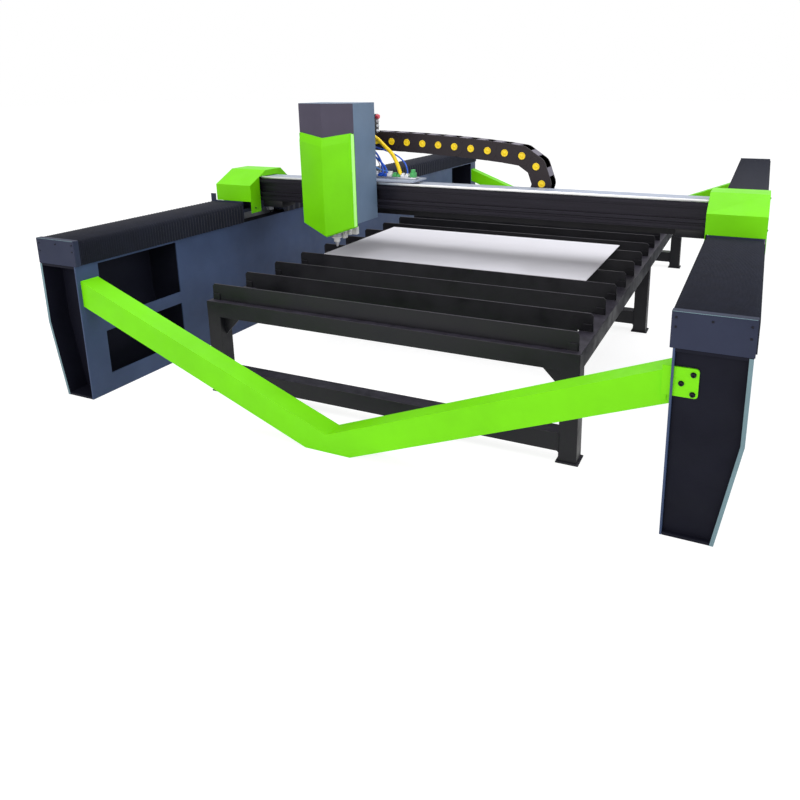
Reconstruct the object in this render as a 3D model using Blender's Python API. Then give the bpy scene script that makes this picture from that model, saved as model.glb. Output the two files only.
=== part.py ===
"""Open gantry fibre laser cutting machine.

Two welded runways carry a gantry beam on linear rails. The beam carries the cutting head in a tall
folded cover, and a slatted table stands between the runways. Metres, +Z up, +Y away from the
operator, +X to the operator's right. The origin is on the floor at the machine's centre.
"""
import math

import bmesh
import bpy
from mathutils import Matrix, Vector

# Clearances and cuts shared by every piece
TOUCH_GAP = 0.0003
RUNNING_GAP = 0.0008
CUT_OVERRUN = 0.010

# Runways: two mirrored beams of welded plate
RUNWAY_SPACING = 2.832
RUNWAY_WIDTH = 0.250
RUNWAY_LENGTH = 5.273
RUNWAY_HEIGHT = 0.708
RUNWAY_BREAK_DROP = 0.313
RUNWAY_FOOT_WIDTH = 0.1825
RUNWAY_PLATE = 0.012
PANEL_PLATE = 0.008
END_RECESS = 0.110
COVERED_END_RECESS = 0.020
DIAPHRAGM_SETBACK = 0.020
WINDOW_INSET = 0.132
WINDOW_LENGTH = 0.532
WINDOW_BASE = 0.101
WINDOW_HEAD = 0.010
WINDOW_RIB = 0.068
UPPER_WINDOW_SHARE = 0.56

# Linear guide bed on each runway: a machined bar with its rail and rack
BED_OFFSET = 0.130
BED_WIDTH = 0.090
BED_HEIGHT = 0.025
RAIL_WIDTH = 0.023
RAIL_HEIGHT = 0.022
RAIL_WAIST = 0.003
RACK_WIDTH = 0.020
RACK_HEIGHT = 0.020

# End caps and bellows over the guides
CAP_DEPTH = 0.030
CAP_SHEET = 0.003
CAP_OVERHANG = 0.011
GUARD_HEIGHT = 0.130
BELLOWS_OVERHANG = 0.006
BELLOWS_FOLD_DEPTH = 0.013
BELLOWS_SKIN = 0.0025
BELLOWS_LIFT = 0.0025
BELLOWS_FOLDS = 32

# V-shaped floor braces between the runways
BRACE_SETBACK = 0.020
BRACE_DEPTH = 0.104
BRACE_END_DROP = 0.078
BRACE_END_HEIGHT = 0.130
BRACE_APEX_TOP = 0.086
BRACKET_PLATE = 0.008
BRACKET_WIDTH = 0.090
BRACKET_LAP = 0.030
BRACKET_HEIGHT = 0.106
BRACKET_DROP = 0.069
BRACKET_CORNER = 0.012
CORNER_STEPS = 4

# Cutting table: portals, rails with slat holders, slats and the sheet on them
TABLE_WIDTH = 1.948
TABLE_TUBE = 0.080
TABLE_DROP = 0.210
TABLE_FRONT = 0.344
TABLE_SHIFT = 0.055
SLAT_INSET = 0.016
SLAT_PITCH = 0.256
SLAT_COUNT = 15
SLAT_THICKNESS = 0.008
SLAT_HEIGHT = 0.084
SLAT_CHAMFER = 0.012
SLAT_BELLY = 0.036
SLAT_BELLY_GAP = 0.006
HOLDER_HEIGHT = 0.034
HOLDER_PLATE = 0.005
HOLDER_WIDTH = 0.040
LOWER_BAR_BOTTOM = 0.050
LOWER_BAR_TOP = 0.134
GUSSET_SHARE = 0.36
GUSSET_PLATE = 0.008
SHEET_WIDTH = 1.592
SHEET_LENGTH = 0.888
SHEET_THICKNESS = 0.003
SHEET_SHIFT = 0.005
SHEET_FRONT = 1.152

# Gantry: its place on the runways and its cross beam
GANTRY_FRONT = 1.259
GANTRY_SHIFT = 0.028
BEAM_SETBACK = 0.101
BEAM_DEPTH = 0.180
BEAM_LIFT = 0.134
BEAM_HEIGHT = 0.148
BEAM_BAND = 0.036
BEAM_BAND_STEP = 0.012
CROSS_RAIL_WIDTH = 0.015
CROSS_RAIL_HEIGHT = 0.012
CROSS_RAIL_WAIST = 0.002
CROSS_RACK_HEIGHT = 0.018
CROSS_RACK_DEPTH = 0.022
CROSS_RACK_RISE = 0.003

# Saddles that carry the beam on the runway guides
SADDLE_PLATE = 0.020
BLOCK_WIDTH = 0.048
BLOCK_LENGTH = 0.090
BLOCK_RISE = 0.018
BLOCK_LIFT = 0.004
BLOCK_INSET = 0.015
SADDLE_FLANGE = 0.006
SADDLE_FLANGE_DROP = 0.045
SADDLE_TAB_WIDTH = 0.038
SADDLE_TAB_LIFT = 0.180

# Folded end covers of the gantry
COVER_SPACING = 2.745
COVER_WIDTH = 0.276
COVER_DEPTH = 0.413
COVER_SHEET = 0.003
COVER_LIFT = 0.138
COVER_FRONT_RISE = 0.104
COVER_REAR_RISE = 0.114
COVER_HEIGHT = 0.187
COVER_FRONT_SLOPE = 0.165
COVER_REAR_SLOPE = 0.089
COVER_SKIRT_DROP = 0.074
COVER_BEAM_GAP = 0.006

# Runway drives: motor on the saddle, pinion on the rack
PINION_TEETH = 20
PINION_RADIUS = 0.0225
PINION_TOOTH = 0.0045
PINION_WIDTH = 0.020
PINION_SHAFT = 0.008
PINION_MESH_GAP = 0.0006
TOOTH_TIP_SHARE = 0.22
TOOTH_ROOT_SHARE = 0.58
SHAFT_HOLE_GAP = 0.003
DRIVE_SETBACK = 0.353
MOTOR_WIDTH = 0.080
MOTOR_FLANGE = 0.012
MOTOR_FLANGE_LIP = 0.004
MOTOR_LENGTH = 0.160
MOTOR_CORNER = 0.008

# Cable tray and drag chain behind the beam
TRAY_SHEET = 0.003
TRAY_LEFT = -0.955
TRAY_RIGHT = 1.380
TRAY_FRONT_HEIGHT = 0.100
TRAY_REAR_HEIGHT = 0.040
TRAY_STOP = 0.010
TRAY_STOP_HEIGHT = 0.120
CHAIN_PITCH = 0.105
CHAIN_HEIGHT = 0.115
CHAIN_WIDTH = 0.100
CHAIN_SIDE = 0.010
CHAIN_NOTCH = 0.007
CHAIN_NOTCH_SHARE = 0.10
CHAIN_BAR = 0.030
CHAIN_BAR_THICKNESS = 0.008
CHAIN_FRONT_GAP = 0.017
CHAIN_RADIUS = 0.166
CHAIN_BEND_X = 0.320
CHAIN_CENTRE_LIFT = 0.016
CHAIN_FIXED_X = -0.900
CHAIN_ARM_X = -0.750
CHAIN_SAG_ANGLE = math.radians(6.3)
CHAIN_BEND_LINKS = 5

# Carriage: plate on the cross rails and its bearing blocks
CARRIAGE_X = -0.655
CARRIAGE_PLATE = 0.015
CARRIAGE_PLATE_DROP = 0.014
CARRIAGE_HEADROOM = 0.032
CARRIAGE_GAP = 0.018
CROSS_BLOCK_LENGTH = 0.080
CROSS_BLOCK_HEIGHT = 0.034
CROSS_BLOCK_SPREAD = 0.105
SHELF_LIFT = 0.016
SHELF_PLATE = 0.010
SHELF_RIGHT = -0.238
ARM_PLATE = 0.010
ARM_WIDTH = 0.110
ARM_CLEARANCE = 0.005
JUNCTION_WIDTH = 0.060
JUNCTION_HEIGHT = 0.110
JUNCTION_DEPTH = 0.070
JUNCTION_OFFSET = 0.020
TERMINAL_LENGTH = 0.295
TERMINAL_DEPTH = 0.050
TERMINAL_HEIGHT = 0.022
TERMINAL_INSET = 0.012
CROSS_MOTOR_OFFSET = 0.095
CROSS_MOTOR_LENGTH = 0.110

# Head cover and the green front panel on it
HEAD_WIDTH = 0.362
HEAD_HEADROOM = 0.030
HEAD_DROP = 0.052
HEAD_DEPTH = 0.240
HEAD_RIDGE = 0.044
HEAD_SHEET = 0.003
HEAD_BACK_GAP = 0.003
PANEL_SHEET = 0.003
PANEL_STANDOFF = 0.014
FRONT_PANEL_HEIGHT = 0.532
FRONT_PANEL_DROP = 0.016
FRONT_PANEL_TOP_DROP = 0.030
FRONT_PANEL_BOTTOM_DROP = 0.065

# Lift axis: guide, screw, motor, cutting head and nozzle
LIFT_RAIL_WIDTH = 0.020
LIFT_RAIL_DEPTH = 0.012
LIFT_RAIL_FOOT = 0.056
LIFT_RAIL_LENGTH = 0.380
TORCH_OFFSET_X = -0.051
TORCH_OFFSET_Y = 0.104
SLIDE_PLATE = 0.012
SLIDE_WIDTH = 0.100
SLIDE_LIFT = 0.040
SLIDE_HEIGHT = 0.200
SLIDE_SHOE_WIDTH = 0.044
TORCH_RADIUS = 0.027
TORCH_COLLAR_RADIUS = 0.033
TORCH_COLLAR = 0.016
TORCH_REACH = 0.232
TORCH_SINK = 0.040
TORCH_SIDES = 20
TORCH_CLAMP_HEIGHT = 0.050
SCREW_OFFSET_X = 0.070
SCREW_OFFSET_Y = 0.085
SCREW_RADIUS = 0.008
SCREW_FOOT = 0.030
NUT_SIZE = 0.036
NUT_HEIGHT = 0.040
NUT_LIFT = 0.100
LIFT_MOTOR_LIFT = 0.028
LIFT_MOTOR_BRACKET = 0.012
LIFT_MOTOR_WIDTH = 0.060
LIFT_MOTOR_LENGTH = 0.100
VALVE_RADIUS = 0.011
VALVE_LENGTH = 0.050
VALVE_DROP = 0.013
VALVE_SPACING = 0.034
VALVE_OFFSET_X = 0.062
VALVE_BRIDGE = 0.012
NOZZLE_LENGTH = 0.094
NOZZLE_TIP_RADIUS = 0.004
NOZZLE_CONE = 0.030
NOZZLE_CONE_RADIUS = 0.015
NOZZLE_BODY = 0.024
NOZZLE_BODY_RADIUS = 0.019
SENSOR_RADIUS = 0.034
SENSOR_CHAMFER = 0.004

# Gas hose and tubes held between the junction block and the terminal bar
HOSE_RADIUS = 0.010
TUBE_RADIUS = 0.004
HOSE_SIDES = 10
HOSE_STEPS = 14
HOSE_SINK = 0.006

# Values worked out from the sizes above
INNER_FACE = RUNWAY_SPACING / 2
RUNWAY_END = RUNWAY_LENGTH / 2
PANEL_OUTER = PANEL_PLATE + TOUCH_GAP
RUNWAY_BREAK_HEIGHT = RUNWAY_HEIGHT - RUNWAY_BREAK_DROP
UPPER_WINDOW_TOP = RUNWAY_HEIGHT - WINDOW_HEAD
UPPER_WINDOW_SILL = UPPER_WINDOW_TOP - UPPER_WINDOW_SHARE * (UPPER_WINDOW_TOP - WINDOW_RIB - WINDOW_BASE)
LOWER_WINDOW_TOP = UPPER_WINDOW_SILL - WINDOW_RIB
GUARD_TOP = RUNWAY_HEIGHT + GUARD_HEIGHT
BRACE_END_TOP = RUNWAY_HEIGHT - BRACE_END_DROP
BRACKET_TOP = RUNWAY_HEIGHT - BRACKET_DROP
TABLE_TOP = RUNWAY_HEIGHT - TABLE_DROP
BED_TOP = RUNWAY_HEIGHT + TOUCH_GAP + BED_HEIGHT
RAIL_TOP = BED_TOP + RAIL_HEIGHT
BLOCK_TOP = RAIL_TOP + BLOCK_RISE
SADDLE_TOP = BLOCK_TOP + SADDLE_PLATE
SADDLE_TAB_TOP = RUNWAY_HEIGHT + SADDLE_TAB_LIFT
BEAM_BOTTOM = RUNWAY_HEIGHT + BEAM_LIFT
BEAM_TOP = BEAM_BOTTOM + BEAM_HEIGHT
COVER_BOTTOM = RUNWAY_HEIGHT + COVER_LIFT
COVER_FRONT_FOLD = COVER_BOTTOM + COVER_FRONT_RISE
COVER_REAR_FOLD = COVER_BOTTOM + COVER_REAR_RISE
COVER_TOP = COVER_BOTTOM + COVER_HEIGHT
COVER_SKIRT_BOTTOM = COVER_BOTTOM - COVER_SKIRT_DROP
COVER_FRONT_Y = -RUNWAY_END + GANTRY_FRONT
COVER_REAR_Y = COVER_FRONT_Y + COVER_DEPTH
RAIL_FACE_Y = COVER_FRONT_Y + BEAM_SETBACK
BAND_FACE_Y = RAIL_FACE_Y + CROSS_RAIL_HEIGHT
BEAM_REAR_Y = RAIL_FACE_Y + BEAM_DEPTH
UPPER_RAIL_Z = BEAM_TOP - BEAM_BAND / 2
LOWER_RAIL_Z = BEAM_BOTTOM + BEAM_BAND / 2
TABLE_FRONT_Y = -RUNWAY_END + TABLE_FRONT
SLAT_LENGTH = TABLE_WIDTH - 2 * SLAT_INSET
TABLE_REAR_Y = TABLE_FRONT_Y + SLAT_PITCH * (SLAT_COUNT - 1) + TABLE_TUBE
SLAT_TOP = TABLE_TOP + TOUCH_GAP + SLAT_HEIGHT
CARRIAGE_BACK_Y = RAIL_FACE_Y - CARRIAGE_GAP
CARRIAGE_FRONT_Y = CARRIAGE_BACK_Y - CARRIAGE_PLATE
CARRIAGE_PLATE_BOTTOM = BEAM_BOTTOM - CARRIAGE_PLATE_DROP
LIFT_RAIL_BOTTOM = BEAM_BOTTOM + LIFT_RAIL_FOOT
LIFT_RAIL_TOP = LIFT_RAIL_BOTTOM + LIFT_RAIL_LENGTH
LIFT_MOTOR_SEAT = LIFT_RAIL_TOP + LIFT_MOTOR_LIFT
CARRIAGE_PLATE_TOP = LIFT_MOTOR_SEAT + LIFT_MOTOR_LENGTH + CARRIAGE_HEADROOM
HEAD_TOP = CARRIAGE_PLATE_TOP + HEAD_HEADROOM
HEAD_BOTTOM = BEAM_BOTTOM - HEAD_DROP
FRONT_PANEL_BOTTOM = HEAD_BOTTOM - FRONT_PANEL_DROP
FRONT_PANEL_TOP = FRONT_PANEL_BOTTOM + FRONT_PANEL_HEIGHT
SLIDE_BOTTOM = LIFT_RAIL_BOTTOM + SLIDE_LIFT
SLIDE_TOP = SLIDE_BOTTOM + SLIDE_HEIGHT
SCREW_BOTTOM = SLIDE_BOTTOM + SCREW_FOOT
NUT_BOTTOM = SLIDE_BOTTOM + NUT_LIFT
TORCH_BOTTOM = SLIDE_BOTTOM - TORCH_REACH
TORCH_TOP = SLIDE_TOP - TORCH_SINK
VALVE_BOTTOM = TORCH_BOTTOM - VALVE_DROP
NOZZLE_TIP = TORCH_BOTTOM - NOZZLE_LENGTH
NOZZLE_CONE_TOP = NOZZLE_TIP + NOZZLE_CONE
NOZZLE_BODY_TOP = NOZZLE_CONE_TOP + NOZZLE_BODY
HEAD_CORNER_Y = RAIL_FACE_Y - HEAD_DEPTH
TORCH_X = CARRIAGE_X + TORCH_OFFSET_X
TORCH_Y = RAIL_FACE_Y - TORCH_OFFSET_Y
SCREW_X = TORCH_X + SCREW_OFFSET_X
SCREW_Y = RAIL_FACE_Y - SCREW_OFFSET_Y
CROSS_MOTOR_X = CARRIAGE_X + CROSS_MOTOR_OFFSET
CROSS_RACK_TOP = BEAM_BOTTOM + BEAM_BAND + CROSS_RACK_RISE + CROSS_RACK_HEIGHT
CROSS_PINION_Z = CROSS_RACK_TOP + PINION_MESH_GAP + PINION_RADIUS
CHAIN_FRONT_Y = BEAM_REAR_Y + CHAIN_FRONT_GAP
CHAIN_REAR_Y = CHAIN_FRONT_Y + CHAIN_WIDTH
CHAIN_CENTRE_Z = BEAM_TOP + CHAIN_CENTRE_LIFT
CHAIN_LOW_Z = CHAIN_CENTRE_Z - CHAIN_RADIUS
TRAY_FLOOR_Z = CHAIN_LOW_Z - CHAIN_HEIGHT / 2 - TOUCH_GAP
SHELF_BOTTOM = BEAM_TOP + SHELF_LIFT
SHELF_TOP = SHELF_BOTTOM + SHELF_PLATE
ARM_REAR_Y = CHAIN_FRONT_Y - ARM_CLEARANCE
ARM_FRONT_Y = ARM_REAR_Y - ARM_PLATE


def clear_scene():
    """Remove whatever the scene holds."""
    for item in list(bpy.data.objects):
        bpy.data.objects.remove(item, do_unlink=True)


def paint(name, colour, roughness, metallic=0.0):
    """A Principled material with the part's colour."""
    material = bpy.data.materials.new(name)
    material.use_nodes = True
    shader = material.node_tree.nodes["Principled BSDF"]
    shader.inputs["Base Color"].default_value = (*colour, 1.0)
    shader.inputs["Roughness"].default_value = roughness
    shader.inputs["Metallic"].default_value = metallic
    return material


def add_object(name, bm, material=None, place=(0, 0, 0)):
    """Turn a bmesh, drawn about its own origin, into an object at a place."""
    bmesh.ops.recalc_face_normals(bm, faces=bm.faces)
    mesh = bpy.data.meshes.new(name)
    bm.to_mesh(mesh)
    bm.free()
    item = bpy.data.objects.new(name, mesh)
    item.location = place
    bpy.context.collection.objects.link(item)
    if material is not None:
        mesh.materials.append(material)
        mesh.shade_smooth()
        mesh.set_sharp_from_angle(angle=math.radians(30))
    return item


def prism_mesh(outline, axis, start, end):
    """Extrude a closed outline along an axis: X takes (y, z), Y takes (x, z), Z takes (x, y)."""
    def corner(u, v, w):
        return {"X": (w, u, v), "Y": (u, w, v), "Z": (u, v, w)}[axis]

    bm = bmesh.new()
    face = bm.faces.new([bm.verts.new(corner(u, v, start)) for u, v in outline])
    grown = bmesh.ops.extrude_face_region(bm, geom=[face])
    moved = [part for part in grown["geom"] if isinstance(part, bmesh.types.BMVert)]
    bmesh.ops.translate(bm, verts=moved, vec=corner(0, 0, end - start))
    return bm


def prism(name, outline, axis, start, end, material=None, place=(0, 0, 0)):
    return add_object(name, prism_mesh(outline, axis, start, end), material, place)


def rectangle(u0, v0, u1, v1):
    return [(u0, v0), (u1, v0), (u1, v1), (u0, v1)]


def block(name, low, high, material=None):
    """A rectangular bar given by two opposite corners."""
    return prism(name, rectangle(low[0], low[1], high[0], high[1]), "Z", low[2], high[2], material)


def several(name, parts):
    """Join bmeshes that don't meet into one operand for a single cut or union."""
    bm = bmesh.new()
    for part in parts:
        mesh = bpy.data.meshes.new(name)
        part.to_mesh(mesh)
        part.free()
        bm.from_mesh(mesh)
        bpy.data.meshes.remove(mesh)
    return add_object(name, bm)


def offset_path(path, distance):
    """Offset an open path to its left, with mitred corners."""
    moved = []
    for index, point in enumerate(path):
        here = Vector(point)
        before = Vector(path[max(index - 1, 0)])
        after = Vector(path[min(index + 1, len(path) - 1)])
        arriving = (here - before) if index > 0 else (after - here)
        leaving = (after - here) if index < len(path) - 1 else arriving
        first = Vector((-arriving.y, arriving.x)).normalized()
        second = Vector((-leaving.y, leaving.x)).normalized()
        middle = (first + second).normalized()
        moved.append(tuple(here + middle * (distance / middle.dot(first))))
    return moved


def folded(path, thickness):
    """Closed outline of a sheet folded along a path, with its thickness on the left."""
    return list(path) + list(reversed(offset_path(path, thickness)))


def rounded_rectangle(u0, v0, u1, v1, radius, corners=(1, 1, 1, 1)):
    """Rectangle whose chosen corners, from the low one round, are arcs."""
    centres = [(u0, v0, 1, 1, 180), (u1, v0, -1, 1, 270), (u1, v1, -1, -1, 0), (u0, v1, 1, -1, 90)]
    outline = []
    for wanted, (u, v, su, sv, turn) in zip(corners, centres):
        if not wanted:
            outline.append((u, v))
            continue
        for step in range(CORNER_STEPS + 1):
            angle = math.radians(turn + 90 * step / CORNER_STEPS)
            outline.append((u + su * radius + radius * math.cos(angle),
                            v + sv * radius + radius * math.sin(angle)))
    return outline


def circle(radius, sides, u=0.0, v=0.0):
    return [(u + radius * math.cos(2 * math.pi * step / sides),
             v + radius * math.sin(2 * math.pi * step / sides)) for step in range(sides)]


def turned_mesh(profile, sides):
    """Revolve a profile of (radius, height) points, from axis to axis, about Z."""
    bm = bmesh.new()
    points = [bm.verts.new((radius, 0, height)) for radius, height in profile]
    edges = [bm.edges.new(pair) for pair in zip(points, points[1:])]
    bmesh.ops.spin(bm, geom=points + edges, cent=(0, 0, 0), axis=(0, 0, 1),
                   angle=2 * math.pi, steps=sides)
    bmesh.ops.remove_doubles(bm, verts=bm.verts, dist=TOUCH_GAP / 10)
    return bm


def swept_mesh(points, radius, sides):
    """Tube along points, with flat ends."""
    bm = bmesh.new()
    rings = []
    for index, point in enumerate(points):
        before = points[max(index - 1, 0)]
        after = points[min(index + 1, len(points) - 1)]
        turn = (after - before).to_track_quat("Z", "X").to_matrix()
        rings.append([bm.verts.new(point + turn @ Vector((u, v, 0))) for u, v in circle(radius, sides)])
    for ring, following in zip(rings, rings[1:]):
        for step in range(sides):
            after = (step + 1) % sides
            bm.faces.new((ring[step], ring[after], following[after], following[step]))
    bm.faces.new(rings[0])
    bm.faces.new(rings[-1])
    return bm


def smooth_route(anchors, steps):
    """Even points on a smooth curve through the anchors, with the ends' tangents kept."""
    anchors = [Vector(anchor) for anchor in anchors]
    points = []
    for index in range(len(anchors) - 1):
        start, end = anchors[index], anchors[index + 1]
        before = anchors[index - 1] if index > 0 else start
        after = anchors[index + 2] if index + 2 < len(anchors) else end
        for step in range(steps):
            t = step / steps
            out_tangent, in_tangent = (end - before) / 2, (after - start) / 2
            points.append(start * (2 * t ** 3 - 3 * t ** 2 + 1) + out_tangent * (t ** 3 - 2 * t ** 2 + t)
                          + end * (3 * t ** 2 - 2 * t ** 3) + in_tangent * (t ** 3 - t ** 2))
    return points + [anchors[-1]]


def combine(target, operation, *operands):
    """Add an exact Boolean for each operand, which becomes a hidden guide."""
    for operand in operands:
        operand.hide_render = True
        operand.display_type = "WIRE"
        step = target.modifiers.new(operand.name, "BOOLEAN")
        step.operation = operation
        step.solver = "EXACT"
        step.object = operand
    return target


def union(target, *operands):
    return combine(target, "UNION", *operands)


def cut(target, *operands):
    return combine(target, "DIFFERENCE", *operands)


def joint_empty(name, place):
    """An empty on a joint's axis, which the moving pieces hang from."""
    item = bpy.data.objects.new(name, None)
    item.location = place
    bpy.context.collection.objects.link(item)
    return item


def hang(parent, *items):
    """Parent items to an empty without moving them."""
    for item in items:
        item.parent = parent
        item.matrix_parent_inverse = Matrix.Translation(parent.location).inverted()


def outward(side, outline):
    """Place an outline, measured outward from a runway's inner face, on the side -1 or 1."""
    return [(side * (INNER_FACE + u), v) for u, v in outline]


def runway_shell(side, name, front_recess, material):
    """Outer shell: top, outer wall, tapered foot and base plate, with end plates and diaphragms."""
    path = [(PANEL_OUTER, RUNWAY_HEIGHT), (RUNWAY_WIDTH, RUNWAY_HEIGHT),
            (RUNWAY_WIDTH, RUNWAY_BREAK_HEIGHT), (RUNWAY_FOOT_WIDTH, 0), (PANEL_OUTER, 0)]
    shell = prism(name, outward(side, folded(path, -RUNWAY_PLATE)), "Y", -RUNWAY_END, RUNWAY_END, material)
    middle = offset_path(path, -RUNWAY_PLATE / 2)
    fill = outward(side, [(PANEL_OUTER, middle[0][1])] + middle[1:-1] + [(PANEL_OUTER, middle[-1][1])])
    diaphragm = RUNWAY_END - WINDOW_INSET - WINDOW_LENGTH - DIAPHRAGM_SETBACK
    starts = [-RUNWAY_END + front_recess, -diaphragm, 0, diaphragm - RUNWAY_PLATE,
              RUNWAY_END - END_RECESS - RUNWAY_PLATE]
    plates = [prism_mesh(fill, "Y", start, start + RUNWAY_PLATE) for start in starts]
    return union(shell, several(name + "_inner_plates", plates))


def window_meshes(side):
    """Cutters for the two windows near each end of a runway's inner panel."""
    meshes = []
    for end in (-1, 1):
        near = end * (RUNWAY_END - WINDOW_INSET)
        far = end * (RUNWAY_END - WINDOW_INSET - WINDOW_LENGTH)
        for sill, top in ((WINDOW_BASE, LOWER_WINDOW_TOP), (UPPER_WINDOW_SILL, UPPER_WINDOW_TOP)):
            outline = rectangle(min(near, far), sill, max(near, far), top)
            reach = [side * (INNER_FACE - CUT_OVERRUN), side * (INNER_FACE + PANEL_PLATE + CUT_OVERRUN)]
            meshes.append(prism_mesh(outline, "X", min(reach), max(reach)))
    return meshes


def runway_panel(side, name, slotted, material):
    """Inner panel with its windows, and a slot where the brace's bracket passes."""
    faces = sorted((side * INNER_FACE, side * (INNER_FACE + PANEL_PLATE)))
    panel = prism(name, rectangle(-RUNWAY_END, 0, RUNWAY_END, RUNWAY_HEIGHT), "X", *faces, material)
    cutters = window_meshes(side)
    if slotted:
        rear = -RUNWAY_END + COVERED_END_RECESS + TOUCH_GAP
        slot = rectangle(rear - BRACKET_PLATE - 3 * TOUCH_GAP, BRACKET_TOP - BRACKET_HEIGHT - TOUCH_GAP, rear,
                         BRACKET_TOP + TOUCH_GAP)
        cutters.append(prism_mesh(slot, "X", faces[0] - CUT_OVERRUN, faces[1] + CUT_OVERRUN))
    return cut(panel, several(name + "_windows", cutters))


def end_cap(side, end, name, material):
    """Folded cap that closes the guard at a runway's end: a front plate with returned edges."""
    seat = RUNWAY_HEIGHT + TOUCH_GAP
    outer = outward(side, rectangle(-CAP_OVERHANG, seat, RUNWAY_WIDTH + CAP_SHEET, GUARD_TOP))
    inner = outward(side, rectangle(CAP_SHEET - CAP_OVERHANG, seat - CUT_OVERRUN, RUNWAY_WIDTH,
                                    GUARD_TOP - CAP_SHEET))
    face, back = end * RUNWAY_END, end * (RUNWAY_END - CAP_DEPTH)
    cap = prism(name, outer, "Y", min(face, back), max(face, back), material)
    hollow = [end * (RUNWAY_END - CAP_SHEET), end * (RUNWAY_END - CAP_DEPTH - CUT_OVERRUN)]
    return cut(cap, prism(name + "_hollow", inner, "Y", min(hollow), max(hollow)))


def guide_bed(side, name, material):
    """Machined bed with its linear rail and rack, one bar each side of the machine."""
    base, half_rail = RUNWAY_HEIGHT + TOUCH_GAP, RAIL_WIDTH / 2
    left, right = BED_OFFSET - BED_WIDTH / 2, BED_OFFSET + BED_WIDTH / 2
    waist_low, waist_high = BED_TOP + RAIL_HEIGHT / 4, BED_TOP + RAIL_HEIGHT / 2
    outline = [(left, base), (right, base), (right, BED_TOP), (BED_OFFSET + half_rail, BED_TOP),
               (BED_OFFSET + half_rail - RAIL_WAIST, waist_low),
               (BED_OFFSET + half_rail - RAIL_WAIST, waist_high), (BED_OFFSET + half_rail, RAIL_TOP),
               (BED_OFFSET - half_rail, RAIL_TOP), (BED_OFFSET - half_rail + RAIL_WAIST, waist_high),
               (BED_OFFSET - half_rail + RAIL_WAIST, waist_low), (BED_OFFSET - half_rail, BED_TOP),
               (left + RACK_WIDTH, BED_TOP), (left + RACK_WIDTH, BED_TOP + RACK_HEIGHT),
               (left, BED_TOP + RACK_HEIGHT)]
    reach = RUNWAY_END - CAP_SHEET - TOUCH_GAP
    return prism(name, outward(side, outline), "Y", -reach, reach, material)


def bellows(side, name, start, end, material):
    """Pleated guard: an upside-down U whose section steps in and out at every fold."""
    floor = RUNWAY_HEIGHT + BELLOWS_LIFT
    bm = bmesh.new()
    rings = []
    for step in range(2 * BELLOWS_FOLDS + 1):
        inset = BELLOWS_FOLD_DEPTH if step % 2 else 0
        path = [(-BELLOWS_OVERHANG + inset, floor), (-BELLOWS_OVERHANG + inset, GUARD_TOP - inset),
                (RUNWAY_WIDTH - inset, GUARD_TOP - inset), (RUNWAY_WIDTH - inset, floor)]
        y = start + (end - start) * step / (2 * BELLOWS_FOLDS)
        ring = [bm.verts.new((u, y, v)) for u, v in outward(side, folded(path, -BELLOWS_SKIN))]
        rings.append(ring)
    count = len(rings[0])
    for ring, following in zip(rings, rings[1:]):
        for step in range(count):
            after = (step + 1) % count
            bm.faces.new((ring[step], ring[after], following[after], following[step]))
    bm.faces.new(rings[0])
    bm.faces.new(rings[-1])
    return add_object(name, bm, material)


def brace(end, name, bracketed, material):
    """V-shaped square tube: down from one runway to the floor at mid span, and up to the other."""
    reach = INNER_FACE - TOUCH_GAP
    low_end, fall = BRACE_END_TOP - BRACE_END_HEIGHT, BRACE_END_TOP - BRACE_APEX_TOP
    flat = INNER_FACE * (BRACE_END_HEIGHT - BRACE_APEX_TOP) / fall
    outline = [(-reach, BRACE_END_TOP), (-reach, low_end), (-flat, 0), (flat, 0), (reach, low_end),
               (reach, BRACE_END_TOP), (0, BRACE_APEX_TOP)]
    near, far = end * (RUNWAY_END - BRACE_SETBACK), end * (RUNWAY_END - BRACE_SETBACK - BRACE_DEPTH)
    tube = prism(name, outline, "Y", min(near, far), max(near, far), material)
    if not bracketed:
        return tube
    face = -RUNWAY_END + COVERED_END_RECESS - TOUCH_GAP
    start = INNER_FACE - BRACKET_LAP
    outline = rounded_rectangle(start, BRACKET_TOP - BRACKET_HEIGHT, INNER_FACE + BRACKET_WIDTH, BRACKET_TOP,
                                BRACKET_CORNER, corners=(0, 1, 1, 0))
    plate = prism(name + "_bracket", outline, "Y", face - BRACKET_PLATE, face)
    tongue = block(name + "_tongue", (start, face - BRACKET_PLATE / 2, low_end + BRACKET_CORNER),
                   (INNER_FACE - BRACKET_CORNER, near + BRACE_DEPTH / 2, BRACKET_TOP - BRACKET_LAP))
    return union(tube, plate, tongue)


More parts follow.
